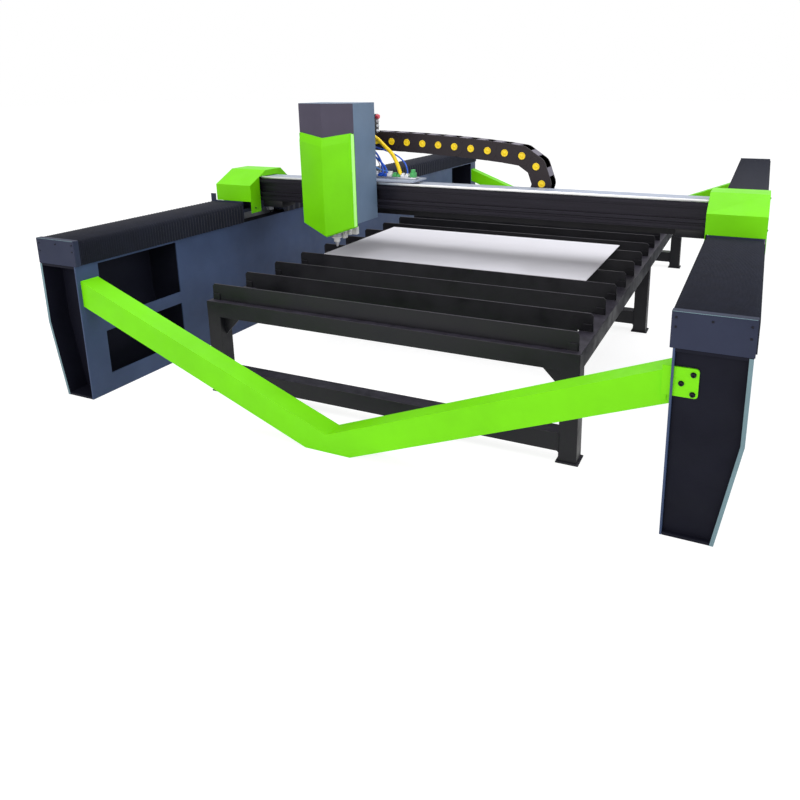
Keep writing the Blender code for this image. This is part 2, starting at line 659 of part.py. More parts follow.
def table_portal(name, centre, material, under_rails=False):
    """A pair of table legs with a top tube, a lower bar and corner gussets."""
    half, inner = TABLE_WIDTH / 2, TABLE_WIDTH / 2 - TABLE_TUBE
    top = TABLE_TOP - TABLE_TUBE - TOUCH_GAP if under_rails else TABLE_TOP
    beam = top - TABLE_TUBE
    front, rear = centre - TABLE_TUBE / 2, centre + TABLE_TUBE / 2
    left, right = TABLE_SHIFT - inner, TABLE_SHIFT + inner
    gusset = GUSSET_SHARE * (beam - LOWER_BAR_TOP)
    portal = prism(name, rectangle(TABLE_SHIFT - half, 0, TABLE_SHIFT + half, top), "Y", front, rear, material)
    opening = [(left, LOWER_BAR_TOP), (right, LOWER_BAR_TOP), (right, beam - gusset),
               (right - gusset, beam), (left + gusset, beam), (left, beam - gusset)]
    square = rectangle(left, LOWER_BAR_TOP, right, beam)
    low = rectangle(left, -CUT_OVERRUN, right, LOWER_BAR_BOTTOM)
    gusset_front = centre - GUSSET_PLATE / 2
    gusset_rear = centre + GUSSET_PLATE / 2
    cutters = [prism_mesh(square, "Y", front - CUT_OVERRUN, gusset_front),
               prism_mesh(square, "Y", gusset_rear, rear + CUT_OVERRUN),
               prism_mesh(low, "Y", front - CUT_OVERRUN, rear + CUT_OVERRUN)]
    cut(portal, several(name + "_openings", cutters))
    cut(portal, prism(name + "_gussets", opening, "Y", front - CUT_OVERRUN, rear + CUT_OVERRUN))
    if not under_rails:
        union(portal, several(name + "_holders", [mesh for side in (-1, 1)
                                                  for mesh in holder_meshes(side, [centre])]))
    return portal


def holder_meshes(side, centres):
    """Pairs of small upright plates that keep each slat's end in place."""
    gap = SLAT_THICKNESS / 2 + RUNNING_GAP
    middle = TABLE_SHIFT + side * (TABLE_WIDTH - TABLE_TUBE) / 2
    meshes = []
    for centre in centres:
        for face in (centre - gap - HOLDER_PLATE, centre + gap):
            outline = rectangle(middle - HOLDER_WIDTH / 2, face, middle + HOLDER_WIDTH / 2, face + HOLDER_PLATE)
            meshes.append(prism_mesh(outline, "Z", TABLE_TOP - HOLDER_PLATE, TABLE_TOP + HOLDER_HEIGHT))
    return meshes


def slat_centres():
    """The slats' places along the table, from the front."""
    first = TABLE_FRONT_Y + TABLE_TUBE / 2
    return [first + SLAT_PITCH * index for index in range(SLAT_COUNT)]


def table_rail(side, name, material):
    """Long top tube of the table between the end portals, with its slat holders."""
    half = TABLE_SHIFT + side * TABLE_WIDTH / 2
    inner = TABLE_SHIFT + side * (TABLE_WIDTH / 2 - TABLE_TUBE)
    start, end = TABLE_FRONT_Y + TABLE_TUBE + TOUCH_GAP, TABLE_REAR_Y - TABLE_TUBE - TOUCH_GAP
    rail = block(name, (min(half, inner), start, TABLE_TOP - TABLE_TUBE), (max(half, inner), end, TABLE_TOP),
                 material)
    return union(rail, several(name + "_holders", holder_meshes(side, slat_centres()[1:-1])))


def slat(name, centre, hanging, material):
    """Flat bar on edge with clipped upper corners; a hanging one reaches down between the long rails."""
    half, low = SLAT_LENGTH / 2, TABLE_TOP + TOUCH_GAP
    belly = TABLE_WIDTH / 2 - TABLE_TUBE - SLAT_BELLY_GAP
    foot = low - SLAT_BELLY
    lower = [(-half, low), (-belly, low), (-belly, foot), (belly, foot), (belly, low), (half, low)]
    outline = (lower if hanging else [lower[0], lower[-1]]) + [
        (half, SLAT_TOP - SLAT_CHAMFER), (half - SLAT_CHAMFER, SLAT_TOP), (SLAT_CHAMFER - half, SLAT_TOP),
        (-half, SLAT_TOP - SLAT_CHAMFER)]
    shifted = [(TABLE_SHIFT + x, z) for x, z in outline]
    return prism(name, shifted, "Y", centre - SLAT_THICKNESS / 2, centre + SLAT_THICKNESS / 2, material)


def steel_sheet(name, material):
    low = SLAT_TOP + TOUCH_GAP
    middle, front = TABLE_SHIFT + SHEET_SHIFT, -RUNWAY_END + SHEET_FRONT
    return block(name, (middle - SHEET_WIDTH / 2, front, low),
                 (middle + SHEET_WIDTH / 2, front + SHEET_LENGTH, low + SHEET_THICKNESS), material)


def rail_steps(centre, width, height, waist, face):
    """Points of a rail's section standing out of a vertical face towards -Y, from its lower edge up."""
    tip = face - height
    return [(face, centre - width / 2), (face - height / 4, centre - width / 2 + waist),
            (face - height / 2, centre - width / 2 + waist), (tip, centre - width / 2),
            (tip, centre + width / 2), (face - height / 2, centre + width / 2 - waist),
            (face - height / 4, centre + width / 2 - waist), (face, centre + width / 2)]


def gantry_beam(name, left, right, material):
    """Cross beam: a closed box whose front has two rail bands and a rack in the web between them."""
    web = BAND_FACE_Y + BEAM_BAND_STEP
    low_band, high_band = BEAM_BOTTOM + BEAM_BAND, BEAM_TOP - BEAM_BAND
    rack_face = web - CROSS_RACK_DEPTH
    rack_low = CROSS_RACK_TOP - CROSS_RACK_HEIGHT
    outline = [(BEAM_REAR_Y, BEAM_BOTTOM), (BAND_FACE_Y, BEAM_BOTTOM)]
    outline += rail_steps(LOWER_RAIL_Z, CROSS_RAIL_WIDTH, CROSS_RAIL_HEIGHT, CROSS_RAIL_WAIST, BAND_FACE_Y)
    outline += [(BAND_FACE_Y, low_band), (web, low_band), (web, rack_low), (rack_face, rack_low),
                (rack_face, CROSS_RACK_TOP), (web, CROSS_RACK_TOP), (web, high_band), (BAND_FACE_Y, high_band)]
    outline += rail_steps(UPPER_RAIL_Z, CROSS_RAIL_WIDTH, CROSS_RAIL_HEIGHT, CROSS_RAIL_WAIST, BAND_FACE_Y)
    outline += [(BAND_FACE_Y, BEAM_TOP), (BEAM_REAR_Y, BEAM_TOP)]
    return prism(name, outline, "X", left, right, material)


def guide_block_outline():
    """Section of a bearing block over a runway rail, measured outward from the inner face."""
    low, groove = BED_TOP + BLOCK_LIFT, RAIL_WIDTH / 2 + RUNNING_GAP
    left, right = BED_OFFSET - BLOCK_WIDTH / 2, BED_OFFSET + BLOCK_WIDTH / 2
    roof = RAIL_TOP + RUNNING_GAP
    top = BLOCK_TOP + SADDLE_PLATE / 2
    return [(left, low), (BED_OFFSET - groove, low), (BED_OFFSET - groove, roof), (BED_OFFSET + groove, roof),
            (BED_OFFSET + groove, low), (right, low), (right, top), (left, top)]


def pinion_offset():
    """Distance of the pinion's axis from the runway's inner face."""
    return BED_OFFSET - BED_WIDTH / 2 - PINION_MESH_GAP - PINION_RADIUS


def drive_y():
    return COVER_FRONT_Y + DRIVE_SETBACK


def saddle(side, name, tabbed, material):
    """Welded saddle: plate, riser under the beam, end flanges for the bellows, and bearing blocks."""
    front, rear = COVER_FRONT_Y - TOUCH_GAP, COVER_REAR_Y + TOUCH_GAP
    low, high = BLOCK_TOP - SADDLE_FLANGE_DROP, COVER_BOTTOM - RUNNING_GAP
    riser = BEAM_BOTTOM - TOUCH_GAP
    outline = [(front - SADDLE_FLANGE, low), (front, low), (front, BLOCK_TOP), (rear, BLOCK_TOP), (rear, low),
               (rear + SADDLE_FLANGE, low), (rear + SADDLE_FLANGE, high), (rear, high), (rear, SADDLE_TOP),
               (BEAM_REAR_Y, SADDLE_TOP), (BEAM_REAR_Y, riser), (BAND_FACE_Y, riser),
               (BAND_FACE_Y, SADDLE_TOP), (front, SADDLE_TOP), (front, high), (front - SADDLE_FLANGE, high)]
    reach = sorted((side * (INNER_FACE - BELLOWS_OVERHANG), side * (INNER_FACE + RUNWAY_WIDTH)))
    body = prism(name, outline, "X", *reach, material)
    slot = outward(side, rectangle(BED_OFFSET - BED_WIDTH / 2 - RUNNING_GAP, low - CUT_OVERRUN,
                                   BED_OFFSET + BED_WIDTH / 2 + RUNNING_GAP, BLOCK_TOP - RUNNING_GAP))
    cut(body, several(name + "_bed_slots", [
        prism_mesh(slot, "Y", front - SADDLE_FLANGE - CUT_OVERRUN, front + CUT_OVERRUN),
        prism_mesh(slot, "Y", rear - CUT_OVERRUN, rear + SADDLE_FLANGE + CUT_OVERRUN)]))
    blocks = [front + BLOCK_INSET, rear - BLOCK_INSET - BLOCK_LENGTH]
    union(body, several(name + "_blocks", [
        prism_mesh(outward(side, guide_block_outline()), "Y", start, start + BLOCK_LENGTH) for start in blocks]))
    axis = Vector((side * (INNER_FACE + pinion_offset()), drive_y()))
    hole = circle(PINION_SHAFT + SHAFT_HOLE_GAP, TORCH_SIDES, axis.x, axis.y)
    cut(body, prism(name + "_shaft_hole", hole, "Z", BLOCK_TOP - CUT_OVERRUN, SADDLE_TOP + CUT_OVERRUN))
    if tabbed:
        tab = outward(side, rectangle(RUNWAY_WIDTH - SADDLE_TAB_WIDTH, SADDLE_TOP, RUNWAY_WIDTH,
                                      SADDLE_TAB_TOP))
        union(body, prism(name + "_tab", tab, "Y", front - SADDLE_FLANGE, front))
    return body


def cover_profile():
    """Path of the end cover's folded sheet, from the front bottom edge to the rear one."""
    return [(COVER_FRONT_Y, COVER_BOTTOM), (COVER_FRONT_Y, COVER_FRONT_FOLD),
            (COVER_FRONT_Y + COVER_FRONT_SLOPE, COVER_TOP), (COVER_REAR_Y - COVER_REAR_SLOPE, COVER_TOP),
            (COVER_REAR_Y, COVER_REAR_FOLD), (COVER_REAR_Y, COVER_BOTTOM)]


def cover_faces(side):
    """X of an end cover's inner and outer faces."""
    inner = side * COVER_SPACING / 2 + GANTRY_SHIFT
    return inner, inner + side * COVER_WIDTH


def end_cover(side, name, long_outer_skirt, material):
    """Folded end cover: a bent sheet with a welded plate at each side, open below."""
    inner, outer = cover_faces(side)
    profile = cover_profile()
    low, base = COVER_SKIRT_BOTTOM, COVER_SKIRT_BOTTOM - CUT_OVERRUN
    solid = [(COVER_FRONT_Y, low)] + profile[1:-1] + [(COVER_REAR_Y, low)]
    cover = prism(name, solid, "X", min(inner, outer), max(inner, outer), material)
    reach = outer - side * COVER_SHEET if long_outer_skirt else outer + side * CUT_OVERRUN
    below = rectangle(COVER_FRONT_Y - CUT_OVERRUN, base, COVER_REAR_Y + CUT_OVERRUN, COVER_BOTTOM)
    cut(cover, prism(name + "_underside", below, "X", *sorted((inner + side * COVER_SHEET, reach))))
    lining = offset_path(profile, -COVER_SHEET)
    hollow = [(lining[0][0], base)] + lining[1:-1] + [(lining[-1][0], base)]
    cut(cover, prism(name + "_hollow", hollow, "X",
                     *sorted((inner + side * COVER_SHEET, outer - side * COVER_SHEET))))
    front, rear = RAIL_FACE_Y - COVER_BEAM_GAP, BEAM_REAR_Y + COVER_BEAM_GAP
    passage = rectangle(front, base, rear, BEAM_TOP + COVER_BEAM_GAP)
    reach = sorted((inner - side * CUT_OVERRUN, inner + side * CUT_OVERRUN))
    return cut(cover, prism(name + "_passage", passage, "X", *reach))


def gear_mesh(width, shaft_start, shaft_end):
    """Spur pinion from height 0 up to its width, with its shaft."""
    outline = []
    root = PINION_RADIUS - PINION_TOOTH
    for tooth in range(PINION_TEETH):
        for radius, share in ((root, -TOOTH_ROOT_SHARE), (PINION_RADIUS, -TOOTH_TIP_SHARE),
                              (PINION_RADIUS, TOOTH_TIP_SHARE), (root, TOOTH_ROOT_SHARE)):
            angle = 2 * math.pi * (tooth + share / 2) / PINION_TEETH
            outline.append((radius * math.cos(angle), radius * math.sin(angle)))
    gear = prism_mesh(outline, "Z", 0, width)
    shaft = prism_mesh(circle(PINION_SHAFT, TORCH_SIDES), "Z", shaft_start, shaft_end)
    return gear, shaft


def pinion(name, place, turn, shaft_length, material):
    """Toothed pinion with its shaft, its origin on its axis."""
    gear, shaft = gear_mesh(PINION_WIDTH, PINION_WIDTH / 2, PINION_WIDTH + shaft_length)
    for mesh in (gear, shaft):
        bmesh.ops.rotate(mesh, verts=mesh.verts, cent=(0, 0, 0), matrix=turn)
    wheel = add_object(name, gear, material, place)
    return union(wheel, add_object(name + "_shaft", shaft, place=place))


def motor_mesh(width, length):
    """Square motor with clipped corners on a wider flange, standing on height 0."""
    half, lip = width / 2, width / 2 + MOTOR_FLANGE_LIP
    flange = prism_mesh(rectangle(-lip, -lip, lip, lip), "Z", 0, MOTOR_FLANGE)
    corner = half - MOTOR_CORNER
    outline = [(-corner, -half), (corner, -half), (half, -corner), (half, corner), (corner, half),
               (-corner, half), (-half, corner), (-half, -corner)]
    return flange, prism_mesh(outline, "Z", MOTOR_FLANGE / 2, length)


def motor(name, place, turn, width, length, material):
    flange, body = motor_mesh(width, length)
    for mesh in (flange, body):
        bmesh.ops.rotate(mesh, verts=mesh.verts, cent=(0, 0, 0), matrix=turn)
    item = add_object(name, body, material, place)
    return union(item, add_object(name + "_flange", flange, place=place))


def cable_tray(name, material):
    """Folded channel behind the beam that the drag chain's lower run lies in, with its fixed stop."""
    front, rear = BEAM_REAR_Y + TOUCH_GAP, CHAIN_REAR_Y + CHAIN_FRONT_GAP
    floor = TRAY_FLOOR_Z - TRAY_SHEET
    path = [(front, floor + TRAY_FRONT_HEIGHT), (front, floor), (rear, floor), (rear, floor + TRAY_REAR_HEIGHT)]
    tray = prism(name, folded(path, TRAY_SHEET), "X", TRAY_LEFT, TRAY_RIGHT, material)
    stop = block(name + "_stop", (CHAIN_FIXED_X - TOUCH_GAP - TRAY_STOP, CHAIN_FRONT_Y, floor + TRAY_SHEET / 2),
                 (CHAIN_FIXED_X - TOUCH_GAP, CHAIN_REAR_Y, TRAY_FLOOR_Z + TRAY_STOP_HEIGHT))
    return union(tray, stop)


def upper_run_point(share):
    """Place and slope of the chain's upper run, from the loop (0) to the carriage arm (1)."""
    start_x = CHAIN_BEND_X + CHAIN_RADIUS * math.sin(CHAIN_SAG_ANGLE)
    start_z = CHAIN_CENTRE_Z + CHAIN_RADIUS * math.cos(CHAIN_SAG_ANGLE)
    length = start_x - CHAIN_ARM_X
    rise = length * math.tan(CHAIN_SAG_ANGLE) / 2
    slope = rise * (2 - 2 * share) / length
    return start_x - length * share, start_z + rise * (2 * share - share ** 2), math.pi - math.atan(slope)


def lower_run_point(share):
    """Place and slope of the lower run, from the tray's stop (0) to the loop (1)."""
    return CHAIN_FIXED_X + (CHAIN_BEND_X - CHAIN_FIXED_X) * share, CHAIN_LOW_Z, 0.0


def bend_point(share):
    """Place and slope of the loop, from its lower end (0) round to its upper end (1)."""
    angle = share * (math.pi - CHAIN_SAG_ANGLE)
    return (CHAIN_BEND_X + CHAIN_RADIUS * math.sin(angle), CHAIN_CENTRE_Z - CHAIN_RADIUS * math.cos(angle), angle)


def chain_run(name, place_at, links, left_gap, right_gap, material):
    """Drag chain run: two scalloped side bands along a path, joined by a crossbar pair per link."""
    def across(share, height):
        x, z, angle = place_at(share)
        return x - height * math.sin(angle), z + height * math.cos(angle)

    half = CHAIN_HEIGHT / 2
    shares = [left_gap]
    heights = [half - CHAIN_NOTCH]
    for link in range(links):
        for part, notch in ((CHAIN_NOTCH_SHARE, 0), (1 - CHAIN_NOTCH_SHARE, 0), (1, CHAIN_NOTCH)):
            shares.append(min((link + part) / links, 1 - right_gap))
            heights.append(half - notch)
    top = [across(share, height) for share, height in zip(shares, heights)]
    bottom = [across(share, -height) for share, height in zip(shares, heights)]
    band = bottom + top[::-1]
    side = add_object(name, prism_mesh(band, "Y", CHAIN_FRONT_Y, CHAIN_FRONT_Y + CHAIN_SIDE), material)
    far_side = prism(name + "_far_side", band, "Y", CHAIN_REAR_Y - CHAIN_SIDE, CHAIN_REAR_Y)
    bars = []
    for link in range(links):
        x, z, angle = place_at((link + 0.5) / links)
        for edge in (-1, 1):
            centre = edge * (half - CHAIN_BAR_THICKNESS)
            corners = rectangle(-CHAIN_BAR / 2, centre - CHAIN_BAR_THICKNESS / 2, CHAIN_BAR / 2,
                                centre + CHAIN_BAR_THICKNESS / 2)
            turned = [(x + u * math.cos(angle) - v * math.sin(angle), z + u * math.sin(angle) + v * math.cos(angle))
                      for u, v in corners]
            bars.append(prism_mesh(turned, "Y", CHAIN_FRONT_Y + CHAIN_SIDE / 2, CHAIN_REAR_Y - CHAIN_SIDE / 2))
    return union(side, several(name + "_bars", bars), far_side)


def run_links(length):
    """Whole number of links on a run of the given length."""
    return max(round(length / CHAIN_PITCH), 1)


def cross_block_meshes():
    """Bearing blocks over the beam's two rails, open towards the rails."""
    groove = CROSS_RAIL_WIDTH / 2 + RUNNING_GAP
    face, tip = BAND_FACE_Y - RUNNING_GAP, RAIL_FACE_Y - RUNNING_GAP
    back = CARRIAGE_BACK_Y - CARRIAGE_PLATE / 2
    meshes = []
    for centre in (LOWER_RAIL_Z, UPPER_RAIL_Z):
        low, high = centre - CROSS_BLOCK_HEIGHT / 2, centre + CROSS_BLOCK_HEIGHT / 2
        outline = [(back, low), (face, low), (face, centre - groove), (tip, centre - groove),
                   (tip, centre + groove), (face, centre + groove), (face, high), (back, high)]
        for side in (-1, 1):
            middle = CARRIAGE_X + side * CROSS_BLOCK_SPREAD
            meshes.append(prism_mesh(outline, "X", middle - CROSS_BLOCK_LENGTH / 2, middle + CROSS_BLOCK_LENGTH / 2))
    return meshes


def carriage_half_width():
    """Half width of the carriage plate, which just fits inside the head cover."""
    return HEAD_WIDTH / 2 - HEAD_SHEET - TOUCH_GAP


def carriage_plate(name, material):
    """Carriage weldment: plate, bearing blocks, lift guide, motor bracket, rear shelf and chain arm."""
    half = carriage_half_width()
    left, right = CARRIAGE_X - half, CARRIAGE_X + half
    body = block(name, (left, CARRIAGE_FRONT_Y, CARRIAGE_PLATE_BOTTOM),
                 (right, CARRIAGE_BACK_Y, CARRIAGE_PLATE_TOP), material)
    union(body, several(name + "_blocks", cross_block_meshes()))
    shaft_hole = prism_mesh(circle(PINION_SHAFT + SHAFT_HOLE_GAP, TORCH_SIDES, CROSS_MOTOR_X, CROSS_PINION_Z),
                            "Y", CARRIAGE_FRONT_Y - CUT_OVERRUN, CARRIAGE_BACK_Y + CUT_OVERRUN)
    cut(body, several(name + "_shaft_hole", [shaft_hole]))
    middle_y = CARRIAGE_BACK_Y - CARRIAGE_PLATE / 2
    behind = RAIL_FACE_Y - HEAD_BACK_GAP + RUNNING_GAP
    shelf = [(left, middle_y), (right, middle_y), (right, behind), (SHELF_RIGHT, behind),
             (SHELF_RIGHT, ARM_REAR_Y), (left, ARM_REAR_Y)]
    union(body, prism(name + "_shelf", shelf, "Z", SHELF_BOTTOM, SHELF_TOP))
    arm_top = upper_run_point(1)[1] + CHAIN_HEIGHT / 2
    arm_left = CHAIN_ARM_X - TOUCH_GAP - ARM_PLATE
    union(body, block(name + "_arm", (arm_left, ARM_FRONT_Y, SHELF_TOP - SHELF_PLATE / 2),
                      (arm_left + ARM_WIDTH, ARM_REAR_Y, arm_top)))
    union(body, block(name + "_chain_end", (arm_left, ARM_REAR_Y - ARM_PLATE / 2, arm_top - CHAIN_HEIGHT),
                      (arm_left + ARM_PLATE, CHAIN_REAR_Y, arm_top)))
    junction_x = junction_right() - JUNCTION_WIDTH
    union(body, block(name + "_junction", (junction_x, ARM_FRONT_Y - JUNCTION_DEPTH, arm_top - JUNCTION_HEIGHT),
                      (junction_right(), ARM_FRONT_Y + ARM_PLATE / 2, arm_top - JUNCTION_OFFSET)))
    rail_x = LIFT_RAIL_WIDTH / 2
    union(body, block(name + "_lift_rail", (TORCH_X - rail_x, CARRIAGE_FRONT_Y - LIFT_RAIL_DEPTH, LIFT_RAIL_BOTTOM),
                      (TORCH_X + rail_x, CARRIAGE_FRONT_Y + CARRIAGE_PLATE / 2, LIFT_RAIL_TOP)))
    seat = LIFT_MOTOR_WIDTH / 2 + MOTOR_FLANGE_LIP
    bracket = block(name + "_lift_bracket", (SCREW_X - seat, SCREW_Y - seat, LIFT_MOTOR_SEAT - LIFT_MOTOR_BRACKET),
                    (SCREW_X + seat, CARRIAGE_FRONT_Y + CARRIAGE_PLATE / 2, LIFT_MOTOR_SEAT))
    union(body, bracket)
    screw_hole = circle(SCREW_RADIUS + RUNNING_GAP, TORCH_SIDES, SCREW_X, SCREW_Y)
    return cut(body, prism(name + "_screw_hole", screw_hole, "Z",
                           LIFT_MOTOR_SEAT - LIFT_MOTOR_BRACKET - CUT_OVERRUN, LIFT_MOTOR_SEAT + CUT_OVERRUN))


def junction_right():
    """Right face of the junction block that the hoses come out of."""
    return CHAIN_ARM_X - TOUCH_GAP - ARM_PLATE + ARM_WIDTH


def head_front_path(standoff, inset):
    """Ridged front of the head in plan, from the left edge to the right one."""
    half = HEAD_WIDTH / 2 - inset
    corner = HEAD_CORNER_Y - standoff
    return [(CARRIAGE_X - half, corner), (CARRIAGE_X, corner - HEAD_RIDGE), (CARRIAGE_X + half, corner)]


def head_cover(name, material):
    """Tall folded box with a ridged front, closed on top, open at its foot and its back."""
    back = RAIL_FACE_Y - HEAD_BACK_GAP
    front = head_front_path(0, 0)
    path = [(front[0][0], back)] + front + [(front[-1][0], back)]
    walls = prism(name, folded(path, HEAD_SHEET), "Z", HEAD_BOTTOM, HEAD_TOP, material)
    inset = offset_path(path, HEAD_SHEET / 2)
    lid = [(inset[0][0], back)] + inset[1:-1] + [(inset[-1][0], back)]
    return union(walls, prism(name + "_lid", lid, "Z", HEAD_TOP - HEAD_SHEET, HEAD_TOP))


def front_panel(name, material):
    """Folded front panel: ridged like the cover, with side returns and pointed top and bottom edges."""
    returns = HEAD_CORNER_Y - TOUCH_GAP - 2 * PANEL_SHEET * HEAD_RIDGE / HEAD_WIDTH
    front = head_front_path(PANEL_STANDOFF, 0)
    path = [(front[0][0], returns)] + front + [(front[-1][0], returns)]
    bm = prism_mesh(folded(path, PANEL_SHEET), "Z", FRONT_PANEL_BOTTOM, FRONT_PANEL_TOP)
    middle = (FRONT_PANEL_BOTTOM + FRONT_PANEL_TOP) / 2
    for vert in bm.verts:
        share = max(front[0][1] - vert.co.y, 0) / HEAD_RIDGE
        vert.co.z -= share * (FRONT_PANEL_TOP_DROP if vert.co.z > middle else FRONT_PANEL_BOTTOM_DROP)
    return add_object(name, bm, material)


def cutting_head(name, material):
    """Cutting head on its slide plate, with its nut, clamp and two small gas valves."""
    rail_face = CARRIAGE_FRONT_Y - LIFT_RAIL_DEPTH
    plate_back = rail_face - RUNNING_GAP
    plate_front = plate_back - SLIDE_PLATE
    half = SLIDE_WIDTH / 2
    body = block(name, (TORCH_X - half, plate_front, SLIDE_BOTTOM), (TORCH_X + half, plate_back, SLIDE_TOP), material)
    groove, shoe = LIFT_RAIL_WIDTH / 2 + RUNNING_GAP, SLIDE_SHOE_WIDTH / 2
    shoe_back = CARRIAGE_FRONT_Y - RUNNING_GAP
    shoes = []
    for side in (-1, 1):
        edges = sorted((TORCH_X + side * groove, TORCH_X + side * shoe))
        shoes.append(prism_mesh(rectangle(edges[0], plate_back - SLIDE_PLATE / 2, edges[1], shoe_back), "Z",
                                SLIDE_BOTTOM, SLIDE_TOP))
    union(body, several(name + "_shoes", shoes))
    nut_half = NUT_SIZE / 2
    union(body, block(name + "_nut", (TORCH_X + half - nut_half / 2, SCREW_Y - nut_half, NUT_BOTTOM),
                      (SCREW_X + nut_half, plate_back - SLIDE_PLATE / 2, NUT_BOTTOM + NUT_HEIGHT)))
    profile = [(0, TORCH_BOTTOM), (TORCH_RADIUS, TORCH_BOTTOM), (TORCH_RADIUS, SLIDE_BOTTOM - TORCH_COLLAR),
               (TORCH_COLLAR_RADIUS, SLIDE_BOTTOM - TORCH_COLLAR), (TORCH_COLLAR_RADIUS, SLIDE_BOTTOM),
               (TORCH_RADIUS, SLIDE_BOTTOM), (TORCH_RADIUS, TORCH_TOP), (0, TORCH_TOP)]
    union(body, add_object(name + "_barrel", turned_mesh(profile, TORCH_SIDES), place=(TORCH_X, TORCH_Y, 0)))
    clamp = [(TORCH_X - TORCH_COLLAR_RADIUS, TORCH_Y, height) for height in (SLIDE_BOTTOM, SLIDE_TOP)]
    union(body, block(name + "_clamp", (clamp[0][0], TORCH_Y, SLIDE_BOTTOM + TORCH_COLLAR),
                      (TORCH_X + TORCH_COLLAR_RADIUS, plate_front + SLIDE_PLATE / 2,
                       SLIDE_BOTTOM + TORCH_COLLAR + TORCH_CLAMP_HEIGHT)))
    valves = [prism_mesh(circle(VALVE_RADIUS, TORCH_SIDES // 2, TORCH_X + VALVE_OFFSET_X + index * VALVE_SPACING,
                                TORCH_Y), "Z", VALVE_BOTTOM, VALVE_BOTTOM + VALVE_LENGTH) for index in range(2)]
    union(body, several(name + "_valves", valves))
    bridge_low = VALVE_BOTTOM + VALVE_LENGTH - VALVE_BRIDGE
    union(body, block(name + "_bridge", (TORCH_X, TORCH_Y - VALVE_RADIUS / 2, bridge_low),
                      (TORCH_X + VALVE_OFFSET_X + VALVE_SPACING, TORCH_Y + VALVE_RADIUS / 2,
                       bridge_low + VALVE_BRIDGE / 2)))
    hole = circle(SCREW_RADIUS + RUNNING_GAP, TORCH_SIDES, SCREW_X, SCREW_Y)
    return cut(body, prism(name + "_screw_hole", hole, "Z", NUT_BOTTOM - CUT_OVERRUN,
                           NUT_BOTTOM + NUT_HEIGHT + CUT_OVERRUN))


def nozzle(name, material):
    """Turned nozzle with its sensor ring, under the cutting head."""
    seat = TORCH_BOTTOM - TOUCH_GAP
    profile = [(0, NOZZLE_TIP), (NOZZLE_TIP_RADIUS, NOZZLE_TIP), (NOZZLE_CONE_RADIUS, NOZZLE_CONE_TOP),
               (NOZZLE_BODY_RADIUS, NOZZLE_CONE_TOP), (NOZZLE_BODY_RADIUS, NOZZLE_BODY_TOP),
               (SENSOR_RADIUS - SENSOR_CHAMFER, NOZZLE_BODY_TOP), (SENSOR_RADIUS, NOZZLE_BODY_TOP + SENSOR_CHAMFER),
               (SENSOR_RADIUS, seat - SENSOR_CHAMFER), (SENSOR_RADIUS - SENSOR_CHAMFER, seat), (0, seat)]
    return add_object(name, turned_mesh(profile, TORCH_SIDES), material, (TORCH_X, TORCH_Y, 0))


def lift_screw(name, material):
    """Lead screw, its origin on its axis, up to the lift motor's underside."""
    top = LIFT_MOTOR_SEAT
    profile = [(0, SCREW_BOTTOM), (SCREW_RADIUS - RUNNING_GAP, SCREW_BOTTOM),
               (SCREW_RADIUS, SCREW_BOTTOM + RUNNING_GAP), (SCREW_RADIUS, top), (0, top)]
    return add_object(name, turned_mesh(profile, TORCH_SIDES), material, (SCREW_X, SCREW_Y, 0))


def hose_bundle(name, material):
    """Terminal bar on the shelf with the gas hose and tubes that rise from it to the junction block."""
    bar_right = SHELF_RIGHT - TERMINAL_INSET
    bar_y = (ARM_REAR_Y + RAIL_FACE_Y) / 2
    low = SHELF_TOP + TOUCH_GAP
    bar = block(name, (bar_right - TERMINAL_LENGTH, bar_y - TERMINAL_DEPTH / 2, low),
                (bar_right, bar_y + TERMINAL_DEPTH / 2, low + TERMINAL_HEIGHT), material)
    foot = low + TERMINAL_HEIGHT - HOSE_SINK
    start_x = junction_right() + RUNNING_GAP
    top = upper_run_point(1)[1] + CHAIN_HEIGHT / 2 - JUNCTION_OFFSET
    start_y = ARM_FRONT_Y - JUNCTION_DEPTH / 2
    reach = bar_right - start_x
    drop = top - foot
    routes = [(HOSE_RADIUS, start_y, [(0, 0.20), (0.25, 0.22), (0.52, 0.42), (0.70, 0.70), (0.74, 1.0)]),
              (TUBE_RADIUS, start_y - JUNCTION_DEPTH / 4, [(0, 0.42), (0.25, 0.46), (0.50, 0.70), (0.52, 1.0)]),
              (TUBE_RADIUS, start_y + JUNCTION_DEPTH / 4, [(0, 0.32), (0.45, 0.36), (0.86, 0.66), (0.90, 1.0)])]
    tubes = []
    for radius, y, route_shares in routes:
        anchors = [(start_x + reach * across, y + (bar_y - y) * down, top - drop * down)
                   for across, down in route_shares]
        tubes.append(swept_mesh(smooth_route(anchors, HOSE_STEPS // 2), radius, HOSE_SIDES))
    return union(bar, several(name + "_tubes", tubes))


